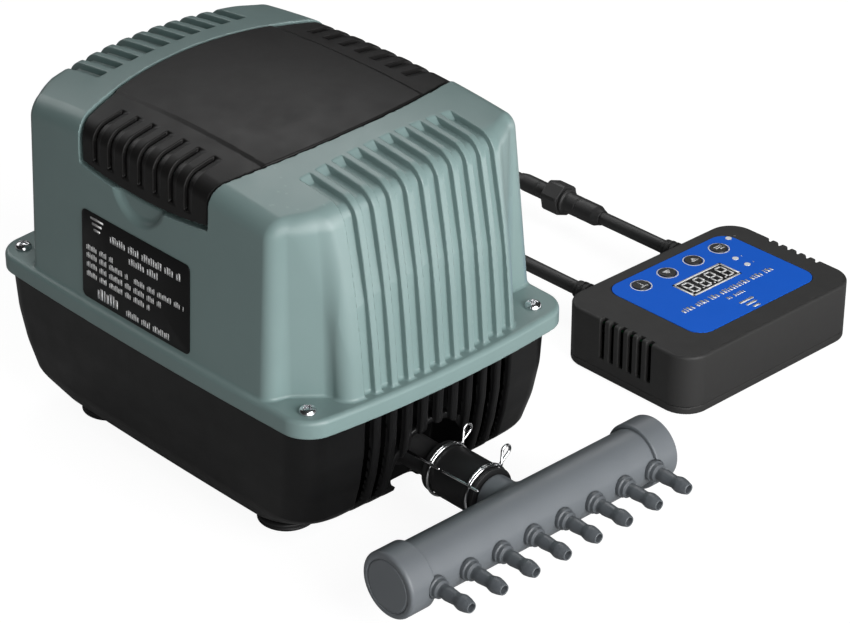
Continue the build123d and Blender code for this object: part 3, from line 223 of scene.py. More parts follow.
def cover_field(x, y, z):
    skin = dome(x, y, z)
    rim = cover_plan(x, y, z, 0.0)
    raised = both(skin, rim, 0.8)
    ay = np.abs(y)
    step = COVER_STEP * np.clip((ay - COVER_STEP_Y) / 1.6, 0, 1)
    lid = raised + step
    mid = x + 1.0
    index = np.clip(np.round(mid / COVER_PITCH), -3, 3)
    across = mid - index * COVER_PITCH
    ends = both(COVER_GROOVE_Y - ay, COVER_GROOVE_Z - z, 0.5)
    depth = COVER_DEPTH * np.clip((COVER_HALF_WIDTH - across) / (2 * COVER_HALF_WIDTH), 0, 1)
    louvre = both(np.abs(across) - COVER_HALF_WIDTH, -(skin + step + depth), 0.6)
    lid = cut(lid, both(louvre, ends, 0.6), 0.6)
    slit = both(np.abs(across + SLIT_OFFSET) - SLIT_HALF_WIDTH, -(skin + step + SLIT_DEPTH), 0.2)
    lid = cut(lid, both(slit, ends + 0.5, 0.5), 0.25)
    inner = skin + COVER_THICK
    return both(lid, -inner, 0.2)


def tub_profile(z, column):
    """Size of the tub at height z, its kinks softened."""
    heights = [s[0] for s in TUB_SECTIONS]
    sizes = [s[column] for s in TUB_SECTIONS]
    return sum(np.interp(z + shift, heights, sizes) for shift in (-1.5, 0.0, 1.5)) / 3


def tub_walls(x, y, z, shrink=0.0):
    half_x = tub_profile(z, 1) - shrink
    half_y = tub_profile(z, 2) - shrink
    return bowed(x, y, half_x, half_y, 3.6, 1.4, tub_profile(z, 3) - shrink * 0.5) * 0.85


def tub_field(x, y, z):
    walls = tub_walls(x, y, z)
    outer = both(both(walls, TUB_LOW - z, 2.0), z - TUB_TOP, 0.5)
    ax, ay = np.abs(x), np.abs(y)
    hollow = np.maximum(tub_walls(x, y, z, TUB_WALL), TUB_LOW + TUB_WALL - z)
    solid = cut(outer, hollow)

    tank_x, tank_y = TANK_HALF
    tank = np.maximum(np.maximum(ax - tank_x, ay - tank_y), slab(z, 10, TANK_TOP))
    inside = np.maximum(np.maximum(ax - tank_x, ay - tank_y) + TUB_WALL, TUB_LOW + TUB_WALL - z)
    tank = cut(tank, inside)
    posts = np.maximum(np.hypot(ax - tank_x + 5, ay - tank_y + 5) - 4.5, slab(z, 10, TANK_TOP))
    solid = join(join(solid, tank), posts)
    bosses = np.maximum(np.hypot(ax - SCREW_XY[0], ay - SCREW_XY[1]) - 4.4, slab(z, 36, TUB_TOP))
    solid = join(solid, np.maximum(bosses, outer))
    port = np.hypot(y, z - PORT_Z)
    cup = np.maximum(np.maximum(port - RECESS_RADIUS - 3, RECESS_X - 3 - x), outer)
    boss = np.maximum(port - 12, slab(x, 69, RECESS_X))
    solid = join(join(solid, cup), boss)

    flute = both(rib_offset(y) - 2.2, -(walls + 1.9), 0.9)
    flute = np.maximum(flute, 60 - ax)
    solid = cut(solid, flute, 1.2)
    solid = cut(solid, both(port - RECESS_RADIUS, RECESS_X - x, 1.0), 0.9)
    solid = cut(solid, np.maximum(port - 6, slab(x, 60, RECESS_X + 1)))
    cord = np.hypot(x - CORD_XZ[0], z - CORD_XZ[1])
    return cut(solid, np.maximum(cord - 6, 50 - y))


CASE_HALF, CASE_CORNER, CASE_TOP = (38.85, 56.8), 12.5, 29.4
CASE_WALL, CASE_POST_XY = 2.2, (31.5, 49.5)
BASE_TOP = 4.0
LEAD_Y, LEAD_Z = (-25.0, 34.0), 15.0
OVERLAY_CENTRE, OVERLAY_HALF = (-2.8, 4.4), (29.2, 39.9)
BUTTON_X, BUTTON_Y = -23.0, (-21.0, -3.6, 13.8, 31.2)
DISPLAY_CENTRE, DISPLAY_HALF = (-6.6, 5.0), (6.8, 16.0)
LED_XY = ((-26.7, 42.0), (-11.3, 29.6), (-3.8, 29.3))


def rounded_rect(x, y, half_x, half_y, corner):
    return both(np.abs(x) - half_x, np.abs(y) - half_y, corner)


def case_plan(x, y, inset):
    """Outline of the controller, moved inwards."""
    return rounded_rect(x, y, CASE_HALF[0] - inset, CASE_HALF[1] - inset, CASE_CORNER - inset)


def case_field(x, y, z):
    outer = both(both(case_plan(x, y, 0.0), z - CASE_TOP, 1.5), BASE_TOP - z)
    inner = np.maximum(case_plan(x, y, CASE_WALL), z - CASE_TOP + CASE_WALL)
    solid = cut(outer, inner)
    ax, ay = np.abs(x), np.abs(y)
    post = np.hypot(ax - CASE_POST_XY[0], ay - CASE_POST_XY[1])
    solid = join(solid, np.maximum(post - 4.2, slab(z, 6, 28)))
    solid = cut(solid, np.maximum(post - 1.5, z - 20))
    sheet = rounded_rect(x - OVERLAY_CENTRE[0], y - OVERLAY_CENTRE[1],
                         OVERLAY_HALF[0] + 0.1, OVERLAY_HALF[1] + 0.1, 8.0)
    solid = cut(solid, np.maximum(sheet, 28.88 - z), 0.15)
    vent_x = x - 1.2
    vent_x = np.abs(vent_x - 5.6 * (np.clip(np.round(vent_x / 5.6 - 0.5), -3, 2) + 0.5)) - 1.4
    vents = np.maximum(np.maximum(both(vent_x, 9.6 - z, 0.5), CASE_HALF[1] - 2.9 - ay), -z)
    solid = cut(solid, vents, 0.35)
    for by in BUTTON_Y:
        solid = cut(solid, np.maximum(np.hypot(x - BUTTON_X, y - by) - 4.3, 20 - z))
    for lx, ly in LED_XY:
        solid = cut(solid, np.maximum(np.hypot(x - lx, y - ly) - 1.6, 20 - z))
    window = rounded_rect(x - DISPLAY_CENTRE[0], y - DISPLAY_CENTRE[1],
                          DISPLAY_HALF[0] + 0.1, DISPLAY_HALF[1] + 0.1, 0.1)
    solid = cut(solid, np.maximum(window, 20 - z))
    for lead_y in LEAD_Y:
        solid = cut(solid, np.maximum(np.hypot(y - lead_y, z - LEAD_Z) - 5, x + 33))
    return solid


def base_field(x, y, z):
    top = BASE_TOP - 0.1
    plate = both(both(case_plan(x, y, 0.0), -z, 1.2), z - top, 0.1)
    lip = cut(case_plan(x, y, CASE_WALL + 0.1), case_plan(x, y, CASE_WALL + 1.6))
    solid = join(plate, np.maximum(lip, slab(z, 2, 6)))
    ax, ay = np.abs(x), np.abs(y)
    studs = np.maximum(np.hypot(ax - 24, ay - 30) - 3, slab(z, 3, 18.3))
    solid = join(solid, studs)
    post = np.hypot(ax - CASE_POST_XY[0], ay - CASE_POST_XY[1])
    solid = cut(solid, np.maximum(post - 4.4, top - z))
    return cut(solid, np.maximum(post - 3.2, z - 2.0))


PIPE_RADIUS, PIPE_HALF, CAP_RADIUS = 12.5, 71.5, 14.3
BARB_COUNT, BARB_PITCH = 8, 17.31


def pipe_field(x, y, z):
    """Pipe along Y with its inlet on -X, around its own centre."""
    radius = np.hypot(x, z)
    pipe = both(radius - PIPE_RADIUS, np.abs(y) - PIPE_HALF, 0.3)
    across = np.hypot(y, z)
    stub = both(both(across - 7.5, -36.5 - x, 0.8), x)
    collar = both(both(across - 9.1, -18.9 - x, 0.8), x)
    solid = join(join(pipe, collar, 1.6), stub, 0.6)
    solid = cut(solid, np.maximum(radius - 10.2, np.abs(y) - 80))
    solid = cut(solid, np.maximum(across - 4.5, x))
    index = np.clip(np.round(y / BARB_PITCH - 0.5), -4, 3) + 0.5
    holes = np.maximum(np.hypot(y - index * BARB_PITCH, z) - 3.0, -x)
    return cut(solid, holes)


def cap_field(side):
    def field(x, y, z):
        out = y * side
        radius = np.hypot(x, z)
        cap = both(radius - CAP_RADIUS, out - 74.4, 1.5)
        cap = both(cap, 61.8 - out, 0.6)
        cap = cut(cap, np.maximum(radius - 12.55, out - 71.6))
        ring = np.abs(radius - 11.3) - 0.35
        cap = cut(cap, np.maximum(ring, 74.05 - out), 0.3)
        notch = np.maximum(np.hypot(out - 3.5 * BARB_PITCH, z) - 4.9, -x)
        return cut(cap, notch, 0.4)
    return field


def screw_field(x, y, z):
    """Pan head with a cross recess, its underside at z = 0."""
    radius = np.hypot(x, y)
    crown = np.hypot(radius, z + 2.6) - 5.3
    head = both(both(radius - 3.75, crown, 0.9), -z, 0.2)
    arm = np.minimum(both(np.abs(x) - 0.55, np.abs(y) - 2.1), both(np.abs(y) - 0.55, np.abs(x) - 2.1))
    cross = np.maximum(arm, 1.0 - z)
    head = cut(head, cross, 0.15)
    shank = np.maximum(radius - 1.95, slab(z, -20, 0.5))
    return join(head, shank)


# ================ meshing
def polygonise(field, low, high, cell):
    """Closed surface of field < 0 as vertices, quads and normals."""
    cell = np.broadcast_to(cell, 3) * QUICK
    axes = [np.arange(a, b + c, c, dtype=np.float32) for a, b, c in zip(low, high, cell)]
    shape = tuple(len(a) for a in axes)
    x, y, z = np.meshgrid(*axes, indexing="ij", sparse=True)
    value = np.ascontiguousarray(np.broadcast_to(field(x, y, z), shape))
    inside = value < 0
    count = np.zeros([n - 1 for n in shape], np.uint8)
    for i in (0, 1):
        for j in (0, 1):
            for k in (0, 1):
                count += inside[i:shape[0] - 1 + i, j:shape[1] - 1 + j, k:shape[2] - 1 + k]
    mixed = (count > 0) & (count < 8)
    cells = np.argwhere(mixed)
    index = np.full(count.shape, -1, np.int64)
    index[mixed] = np.arange(len(cells))

    total = np.zeros((len(cells), 3))
    weight = np.zeros(len(cells))
    corners = [(i, j, k) for i in (0, 1) for j in (0, 1) for k in (0, 1)]
    for a in corners:
        for b in corners:
            if sum(b) - sum(a) != 1 or any(q < p for p, q in zip(a, b)):
                continue
            va = value[tuple((cells + a).T)].astype(float)
            vb = value[tuple((cells + b).T)].astype(float)
            crossing = (va < 0) != (vb < 0)
            t = va[crossing] / (va[crossing] - vb[crossing])
            total[crossing] += np.array(a) + t[:, None] * (np.array(b) - np.array(a))
            weight[crossing] += 1
    points = np.array([a[0] for a in axes], float) + cell * (cells + total / weight[:, None])

    quads = []
    for axis in range(3):
        u, v = (axis + 1) % 3, (axis + 2) % 3
        first = [slice(None)] * 3
        second = [slice(None)] * 3
        first[axis] = slice(0, -1)
        second[axis] = slice(1, None)
        change = inside[tuple(first)] != inside[tuple(second)]
        at = np.argwhere(change)
        keep = (at[:, u] > 0) & (at[:, v] > 0) & (at[:, u] < shape[u] - 1) & (at[:, v] < shape[v] - 1)
        at = at[keep]
        du, dv = np.eye(3, dtype=int)[u], np.eye(3, dtype=int)[v]
        ring = [index[tuple((at - step).T)] for step in (du + dv, dv, 0 * du, du)]
        ring = np.stack(ring, 1)
        outward = inside[tuple(at.T)]
        ring[~outward] = ring[~outward][:, ::-1]
        quads.append(ring)
    quads = np.concatenate(quads)

    for _ in range(3):
        distance, slope = probe(field, points, 0.05)
        step = distance[:, None] * slope / np.maximum((slope ** 2).sum(1), 0.2)[:, None]
        length = np.linalg.norm(step, axis=1)
        points -= step * np.minimum(1, 0.5 * cell.mean() / np.maximum(length, 1e-9))[:, None]
    _, normals = probe(field, points, 0.12)
    normals /= np.maximum(np.linalg.norm(normals, axis=1), 1e-9)[:, None]
    return points, quads, normals


def probe(field, points, reach):
    """Value and slope of a field at loose points."""
    x, y, z = points.T
    slope = np.stack([
        field(x + reach, y, z) - field(x - reach, y, z),
        field(x, y + reach, z) - field(x, y - reach, z),
        field(x, y, z + reach) - field(x, y, z - reach)], 1) / (2 * reach)
    return field(x, y, z), slope


def new_mesh(name, points, quads, normals=None):
    """Blender object from mm points and quad or triangle indices."""
    mesh = bpy.data.meshes.new(name)
    points = np.asarray(points, float) * MM
    faces = np.asarray(quads)
    sides = faces.shape[1]
    mesh.vertices.add(len(points))
    mesh.vertices.foreach_set("co", points.astype(np.float32).ravel())
    mesh.loops.add(faces.size)
    mesh.loops.foreach_set("vertex_index", faces.astype(np.int32).ravel())
    mesh.polygons.add(len(faces))
    mesh.polygons.foreach_set("loop_start", np.arange(0, faces.size, sides, dtype=np.int32))
    mesh.polygons.foreach_set("use_smooth", np.ones(len(faces), bool))
    mesh.update(calc_edges=True)
    mesh.validate()
    if normals is not None and len(mesh.vertices) == len(normals):
        mesh.normals_split_custom_set_from_vertices([tuple(n) for n in normals])
    piece = bpy.data.objects.new(name, mesh)
    bpy.context.scene.collection.objects.link(piece)
    return piece


def moulding(name, field, low, high, cell, at):
    points, quads, normals = polygonise(field, low, high, cell)
    return new_mesh(name, points + np.array(at, float), quads, normals)


def stack(name, parts):
    """One object from several (points, quads) pairs."""
    points, quads, start = [], [], 0
    for part_points, part_quads in parts:
        points.append(np.asarray(part_points, float))
        quads.append(np.asarray(part_quads) + start)
        start += len(part_points)
    return new_mesh(name, np.concatenate(points), np.concatenate(quads))


def soften(outline, radius):
    """Closed (along, radius) outline with every corner rounded."""
    pts = np.array(outline, float)
    result = []
    for i in range(len(pts)):
        before, here, after = pts[i - 1], pts[i], pts[(i + 1) % len(pts)]
        reach_a = min(radius, 0.45 * np.linalg.norm(before - here))
        reach_b = min(radius, 0.45 * np.linalg.norm(after - here))
        a = here + (before - here) / np.linalg.norm(before - here) * reach_a
        b = here + (after - here) / np.linalg.norm(after - here) * reach_b
        for s in np.linspace(0, 1, 5):
            result.append((1 - s) ** 2 * a + 2 * s * (1 - s) * here + s ** 2 * b)
    return np.array(result)


def turned(outline, centre, axis, radius=0.3, around=72):
    """Ring turned from a closed (along, radius) outline round an axis through centre."""
    rim = soften(outline, radius)
    angles = np.linspace(0, 2 * math.pi, around, endpoint=False)
    u, v = (axis + 1) % 3, (axis + 2) % 3
    points = np.zeros((around, len(rim), 3))
    points[:, :, axis] = rim[None, :, 0]
    points[:, :, u] = rim[None, :, 1] * np.cos(angles)[:, None]
    points[:, :, v] = rim[None, :, 1] * np.sin(angles)[:, None]
    points = points.reshape(-1, 3) + np.array(centre, float)
    n = len(rim)
    i, k = np.meshgrid(np.arange(around), np.arange(n), indexing="ij")
    i2, k2 = (i + 1) % around, (k + 1) % n
    quads = np.stack([i * n + k, i2 * n + k, i2 * n + k2, i * n + k2], -1).reshape(-1, 4)
    return points, oriented(points, quads)


def oriented(points, quads):
    """Quads turned so that the closed surface has a positive volume."""
    a, b, c = points[quads[:, 0]], points[quads[:, 1]], points[quads[:, 2]]
    d = points[quads[:, 3]]
    volume = np.einsum("ij,ij->i", a, np.cross(b, c)).sum() + np.einsum("ij,ij->i", a, np.cross(c, d)).sum()
    return quads if volume > 0 else quads[:, ::-1]


def swept(path, radius, around=14):
    """Round bar along a path of points, with rounded ends."""
    path = np.array(path, float)
    radii = np.full(len(path), float(radius))
    ahead = path[0] - path[1]
    behind = path[-1] - path[-2]
    ahead /= np.linalg.norm(ahead)
    behind /= np.linalg.norm(behind)
    bow = [(0.35, 0.92), (0.8, 0.6), (1.0, 0.05)]
    head = [path[0] + ahead * radius * s for s, _ in bow][::-1]
    tail = [path[-1] + behind * radius * s for s, _ in bow]
    ends = [radius * w for _, w in bow]
    path = np.concatenate([head, path, tail])
    radii = np.concatenate([ends[::-1], radii, ends])
    tangent = np.gradient(path, axis=0)
    tangent /= np.linalg.norm(tangent, axis=1)[:, None]
    normal = np.zeros_like(path)
    seed = np.array([0.0, 0.0, 1.0]) if abs(tangent[0][2]) < 0.9 else np.array([0.0, 1.0, 0.0])
    for i, direction in enumerate(tangent):
        seed = seed - direction * seed.dot(direction)
        seed /= np.linalg.norm(seed)
        normal[i] = seed
    other = np.cross(tangent, normal)
    angles = np.linspace(0, 2 * math.pi, around, endpoint=False)
    ring = np.cos(angles)[None, :, None] * normal[:, None] + np.sin(angles)[None, :, None] * other[:, None]
    points = (path[:, None] + ring * radii[:, None, None]).reshape(-1, 3)
    rows = len(path)
    i, k = np.meshgrid(np.arange(rows - 1), np.arange(around), indexing="ij")
    i2, k2 = (i + 1) % rows, (k + 1) % around
    quads = np.stack([i * around + k, i * around + k2, i2 * around + k2, i2 * around + k], -1).reshape(-1, 4)
    for row, order in ((0, 1), (rows - 1, -1)):
        hub = len(points)
        points = np.concatenate([points, path[row][None]])
        fan = [(hub, row * around + (c + 2) % around, row * around + (c + 1) % around, row * around + c)
               for c in range(0, around, 2)]
        quads = np.concatenate([quads, np.array(fan)[:, ::order]])
    return points, oriented(points, quads)


def pad(half, centre, thickness, place, corner):
    """Small rounded plate of print; place maps (u, v, height) to a point."""
    half_u, half_v = half
    corner = min(corner, 0.9 * half_u, 0.9 * half_v)
    rim = []
    for quarter, (su, sv) in enumerate(((1, 1), (-1, 1), (-1, -1), (1, -1))):
        for s in range(4):
            angle = (quarter + s / 3) * math.pi / 2
            rim.append((su * (half_u - corner) + corner * math.cos(angle),
                        sv * (half_v - corner) + corner * math.sin(angle)))
    n = len(rim)
    points = [place(centre[0] + u, centre[1] + v, h) for h in (0.0, thickness) for u, v in rim]
    points += [place(centre[0], centre[1], h) for h in (0.0, thickness)]
    quads = [(k, (k + 1) % n, n + (k + 1) % n, n + k) for k in range(n)]
    for k in range(0, n, 2):
        quads.append((2 * n, (k + 2) % n, (k + 1) % n, k))
        quads.append((2 * n + 1, n + k, n + (k + 1) % n, n + (k + 2) % n))
    points = np.array(points)
    return points, oriented(points, np.array(quads))


# ================ materials
def shader(name="look"):
    material = bpy.data.materials.new(name)
    material.use_nodes = True
    tree = material.node_tree
    tree.nodes.clear()
    out = tree.nodes.new("ShaderNodeOutputMaterial")
    skin = tree.nodes.new("ShaderNodeBsdfPrincipled")
    tree.links.new(skin.outputs[0], out.inputs[0])
    return material, tree, skin


def noise(tree, size_mm, detail=3.0, stretch=None):
    """Noise whose features are about size_mm across, in the object's own frame."""
    coords = tree.nodes.new("ShaderNodeTexCoord")
    mapping = tree.nodes.new("ShaderNodeMapping")
    mapping.inputs["Scale"].default_value = stretch or (1, 1, 1)
    tree.links.new(coords.outputs["Object"], mapping.inputs[0])
    texture = tree.nodes.new("ShaderNodeTexNoise")
    texture.inputs["Scale"].default_value = 1000.0 / size_mm
    texture.inputs["Detail"].default_value = detail
    tree.links.new(mapping.outputs[0], texture.inputs["Vector"])
    return texture.outputs[0]


def remap(tree, value, low, high, to_low, to_high):
    node = tree.nodes.new("ShaderNodeMapRange")
    for slot, number in zip(("From Min", "From Max", "To Min", "To Max"), (low, high, to_low, to_high)):
        node.inputs[slot].default_value = number
    tree.links.new(value, node.inputs["Value"])
    return node.outputs[0]


def blend_colour(tree, factor, first, second):
    node = tree.nodes.new("ShaderNodeMix")
    node.data_type = "RGBA"
    tree.links.new(factor, node.inputs["Factor"])
    for slot, colour in ((6, first), (7, second)):
        if isinstance(colour, (tuple, list)):
            node.inputs[slot].default_value = (*colour[:3], 1)
        else:
            tree.links.new(colour, node.inputs[slot])
    return node.outputs[2]


def edge_mask(tree, kind):
    """1 along worn convex edges."""
    if kind == "dense":
        geometry = tree.nodes.new("ShaderNodeNewGeometry")
        return remap(tree, geometry.outputs["Pointiness"], 0.53, 0.64, 0.0, 1.0)
    bevel = tree.nodes.new("ShaderNodeBevel")
    bevel.samples = 4
    bevel.inputs["Radius"].default_value = 0.5 * MM
    geometry = tree.nodes.new("ShaderNodeNewGeometry")
    dot = tree.nodes.new("ShaderNodeVectorMath")
    dot.operation = "DOT_PRODUCT"
    tree.links.new(bevel.outputs[0], dot.inputs[0])
    tree.links.new(geometry.outputs["Normal"], dot.inputs[1])
    return remap(tree, dot.outputs["Value"], 0.98, 0.80, 0.0, 1.0)


def moulded(colour, rough, grain=0.5, depth=0.012, patch=28.0, vary=0.05, edge=1.12,
            edges="bevel", metallic=0.0, scratch=0.0, specular=0.5):
    """Moulded surface: slow colour change, fine grain, uneven gloss and rubbed edges."""
    material, tree, skin = shader()
    slow = noise(tree, patch)
    dark = [c * (1 - vary) for c in colour]
    pale = [c * (1 + vary) for c in colour]
    base = blend_colour(tree, slow, dark, pale)
    rubbed = [min(1.0, c * edge + 0.004) for c in colour]
    base = blend_colour(tree, edge_mask(tree, edges), base, rubbed)
    tree.links.new(base, skin.inputs["Base Color"])
    gloss = remap(tree, noise(tree, patch * 0.4, 4.0), 0.3, 0.7, rough - 0.05, rough + 0.05)
    tree.links.new(gloss, skin.inputs["Roughness"])
    skin.inputs["Metallic"].default_value = metallic
    skin.inputs["Specular IOR Level"].default_value = specular
    stretch = (1, 1, 14) if scratch else None
    bump = tree.nodes.new("ShaderNodeBump")
    bump.inputs["Distance"].default_value = depth * MM
    bump.inputs["Strength"].default_value = 1.0
    tree.links.new(noise(tree, grain, 2.0, stretch), bump.inputs["Height"])
    if edges == "bevel":
        bevel = tree.nodes.new("ShaderNodeBevel")
        bevel.samples = 4
        bevel.inputs["Radius"].default_value = 0.25 * MM
        tree.links.new(bevel.outputs[0], bump.inputs["Normal"])
    tree.links.new(bump.outputs[0], skin.inputs["Normal"])
    return material


def foam_material():
    """Open-cell foam: pale strands, with painted shade in the pores between them."""
    material, tree, skin = shader()
    coords = tree.nodes.new("ShaderNodeTexCoord")
    cells = tree.nodes.new("ShaderNodeTexVoronoi")
    cells.inputs["Scale"].default_value = 1000.0 / 1.6
    tree.links.new(coords.outputs["Object"], cells.inputs["Vector"])
    # pore is 0 deep in each cell and 1 on the strands; the dark end is painted shade inside the pores, and
    # the same mask sinks the pores in the bump
    pore = remap(tree, cells.outputs["Distance"], 0.15, 0.6, 0.0, 1.0)
    tree.links.new(blend_colour(tree, pore, (0.012, 0.012, 0.014), (0.10, 0.10, 0.11)),
                   skin.inputs["Base Color"])
    skin.inputs["Roughness"].default_value = 0.95
    bump = tree.nodes.new("ShaderNodeBump")
    bump.inputs["Distance"].default_value = 0.5 * MM
    tree.links.new(pore, bump.inputs["Height"])
    tree.links.new(bump.outputs[0], skin.inputs["Normal"])
    return material


MATERIALS = {
    "housing": moulded((0.194, 0.276, 0.270), 0.34, grain=0.6, depth=0.008, edges="dense"),
    "cover": moulded((0.0105, 0.0100, 0.0098), 0.44, grain=0.45, depth=0.010, edges="dense", edge=1.9,
                     specular=0.24),
    "tub": moulded((0.0050, 0.0050, 0.0052), 0.36, grain=0.9, depth=0.005, edges="dense", edge=1.5,
                   specular=0.30),
    "case": moulded((0.0270, 0.0266, 0.0262), 0.55, grain=0.35, depth=0.012, edges="dense", edge=1.6,
                    specular=0.35),
    "pipe": moulded((0.150, 0.164, 0.178), 0.40, grain=1.1, depth=0.006, vary=0.08, edges="dense"),
    "barb": moulded((0.095, 0.105, 0.115), 0.38, grain=0.8, depth=0.006),
    "rubber": moulded((0.012, 0.012, 0.0125), 0.50, grain=0.5, depth=0.015, edge=1.8),
    "cable": moulded((0.026, 0.026, 0.026), 0.45, grain=0.7, depth=0.010, edge=1.6),
    "boot": moulded((0.015, 0.015, 0.015), 0.58, grain=0.5, depth=0.015, edge=1.8),
    "connector": moulded((0.024, 0.024, 0.0245), 0.45, grain=0.5, depth=0.010, edge=1.8),
    "steel": moulded((0.78, 0.78, 0.80), 0.20, grain=0.6, depth=0.004, metallic=1.0,
                     vary=0.06, scratch=1.0),
    "wire": moulded((0.83, 0.83, 0.84), 0.16, grain=0.4, depth=0.003, metallic=1.0, vary=0.05),
    "film_black": moulded((0.0050, 0.0050, 0.0052), 0.40, grain=0.3, depth=0.003, specular=0.2),
    "film_blue": moulded((0.0065, 0.125, 0.700), 0.45, grain=0.3, depth=0.004, specular=0.1),
    "ink": moulded((0.82, 0.82, 0.82), 0.55, grain=0.3, depth=0.003, vary=0.03, edge=1.0),
    "key": moulded((0.012, 0.012, 0.012), 0.45, grain=0.3, depth=0.006, edge=1.6),
    "window": moulded((0.010, 0.010, 0.011), 0.22, grain=0.3, depth=0.001),
    "lamp": moulded((0.86, 0.87, 0.88), 0.25, grain=0.3, depth=0.002, vary=0.02, edge=1.0),
    "motor": moulded((0.050, 0.050, 0.055), 0.50, grain=0.6, depth=0.012),
    "lamination": moulded((0.33, 0.33, 0.34), 0.40, grain=0.5, depth=0.03, metallic=1.0,
                          scratch=1.0),
    "coil": moulded((0.50, 0.33, 0.06), 0.40, grain=0.4, depth=0.03, scratch=1.0),
    "alloy": moulded((0.70, 0.70, 0.72), 0.32, grain=0.4, depth=0.006, metallic=1.0),
    "nickel": moulded((0.62, 0.60, 0.58), 0.24, grain=0.5, depth=0.004, metallic=1.0),
    "brass": moulded((0.78, 0.60, 0.26), 0.26, grain=0.4, depth=0.004, metallic=1.0),
    "board": moulded((0.015, 0.150, 0.055), 0.40, grain=0.8, depth=0.008),
    "foam": foam_material(),
}
for look, material in MATERIALS.items():
    material.name = look

NODE_MATERIALS = {
    "rubber": ("housing_gasket", "tank_gasket", "vibration_mounts", "air_tubes", "diaphragm_left",
               "diaphragm_right", "intake_valve_left", "intake_valve_right", "exhaust_valve_left",
               "exhaust_valve_right"),
    "steel": ("foot_screws", "tank_screws", "head_screws", "controller_screws"),
    "film_black": ("rating_label",),
    "film_blue": ("control_overlay",),
    "motor": ("tank_lid", "motor_frame", "pump_head_left", "pump_head_right", "head_covers"),
    "lamination": ("stator_cores",),
    "coil": ("coil_windings",),
    "alloy": ("drive_rod", "clamp_discs", "rod_nuts"),
    "nickel": ("rod_magnets",),
    "cable": ("pump_cord", "output_cable", "mains_cable"),
    "boot": ("cord_grommet",),
    "connector": ("connector_nut", "mains_plug", "outlet_nipple"),
    "brass": ("plug_pins",),
    "window": ("display_module",),
    "board": ("circuit_board",),
    "lamp": ("indicator_leds",),
    "key": ("button_power", "button_down", "button_up", "button_mode"),
}


SOFT_EDGES = {"connector_nut": 0.45, "mains_plug": 0.8, "control_overlay": 0.12, "rating_label": 0.2}


def finish_piece(piece, material, body, slot, *replaced):
    piece.data.materials.clear()
    piece.data.materials.append(MATERIALS[material])
    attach(piece, body)
    if replaced:
        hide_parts(*replaced)
    return piece


def dress_cad_nodes():
    """Materials and softened edges on the nodes that keep their CAD shape."""
    for material, names in NODE_MATERIALS.items():
        for name in names:
            node = NODES[name]
            node.data.materials.clear()
            node.data.materials.append(MATERIALS[material])
            weld = node.modifiers.new("weld", "WELD")
            weld.merge_threshold = 0.02 * MM
            bevel = node.modifiers.new("soft edges", "BEVEL")
            bevel.limit_method = "ANGLE"
            bevel.angle_limit = math.radians(35)
            bevel.width = SOFT_EDGES.get(name, 0.25) * MM
            bevel.segments = 2
            bevel.use_clamp_overlap = True
            bevel.harden_normals = False


# ================ pump
def make_housing():
    at = (PUMP[0], PUMP[1], 0)
    rib_cell = RIB_PITCH / 18
    start = RIB_FIRST_Y - 86.5 * rib_cell
    housing = moulding("housing_moulding", housing_field, (-108.5, start, 62.5), (108.5, 78.5, 164.5),
                       (0.65, rib_cell, 0.9), at)
    finish_piece(housing, "housing", "body", "housing_green", "upper_housing")
    cover = moulding("cover_moulding", cover_field, (-55, -73, 128), (55, 76, 164.5), (0.5, 0.75, 0.6), at)
    finish_piece(cover, "cover", "cover", "cover_charcoal", "filter_cover")
    tub = moulding("tub_moulding", tub_field, (-105, start, 6.5), (105, 73, 65), (0.9, 0.6, 0.9), at)
    finish_piece(tub, "tub", "body", "tub_black", "lower_housing")


def make_screws():
    points, quads, _ = polygonise(screw_field, (-4.6, -4.6, -21), (4.6, 4.6, 3.6), 0.22)
    parts = []
    for i, (sx, sy) in enumerate(((-1, -1), (-1, 1), (1, -1), (1, 1))):
        turn = math.radians(20 + 37 * i)
        spin = np.array(Matrix.Rotation(turn, 3, "Z"))
        place = np.array([PUMP[0] + sx * SCREW_XY[0], PUMP[1] + sy * SCREW_XY[1], FLANGE_TOP])
        parts.append((points @ spin.T + place, quads))
    finish_piece(stack("flange_screws", parts), "steel", "body", "screw_steel", "housing_screws")


def make_feet():
    outline = [(0.0, 4.6), (0.0, 11.4), (0.9, 12.5), (1.7, 12.5), (2.0, 12.0), (2.4, 12.5), (3.4, 12.5),
               (4.0, 11.6), (4.1, 9.4), (7.9, 9.0), (7.9, 2.0), (2.6, 2.0), (2.6, 4.6)]
    parts = [turned(outline, (PUMP[0] + sx * FOOT_XY[0], PUMP[1] + sy * FOOT_XY[1], 0), 2, 0.35)
             for sx in (-1, 1) for sy in (-1, 1)]
    finish_piece(stack("rubber_foot_set", parts), "rubber", "body", "foot_rubber", "rubber_feet")


def make_foam():
    """Pad with an uneven open-cell surface."""
    low, high = box_mm("filter_foam")
    half, centre = (high - low) / 2, (high + low) / 2

    def field(x, y, z):
        cells = np.sin(x * 2.9 + 1.3 * np.sin(y * 1.7)) * np.sin(y * 3.1 + 1.1 * np.sin(z * 2.3))
        cells = cells * np.sin(z * 2.7 + 1.2 * np.sin(x * 1.9))
        block = both(rounded_rect(x, y, half[0] - 0.5, half[1] - 0.5, 3.0), np.abs(z) - half[2] + 0.5, 0.8)
        return block + 0.35 * cells
    pad_low, pad_high = -half - 1, half + 1
    foam = moulding("foam_pad", field, pad_low, pad_high, 0.7, centre)
    finish_piece(foam, "foam", "body", "filter_foam", "filter_foam")


def label_place(u, v, height):
    """Point on the label's face: u to the right, v up from its centre."""
    z = LABEL_CENTRE[1] + v
    x = LABEL_CENTRE[0] + u
    radius = FRONT_WALL_BOW - FRONT_WALL_DRAFT * (z - DOME_BASE)
    wall = FRONT_WALL_REACH - FRONT_WALL_BOW + math.sqrt(radius ** 2 - x ** 2)
    return (PUMP[0] + x, PUMP[1] - (wall + LABEL_THICK + height), z)


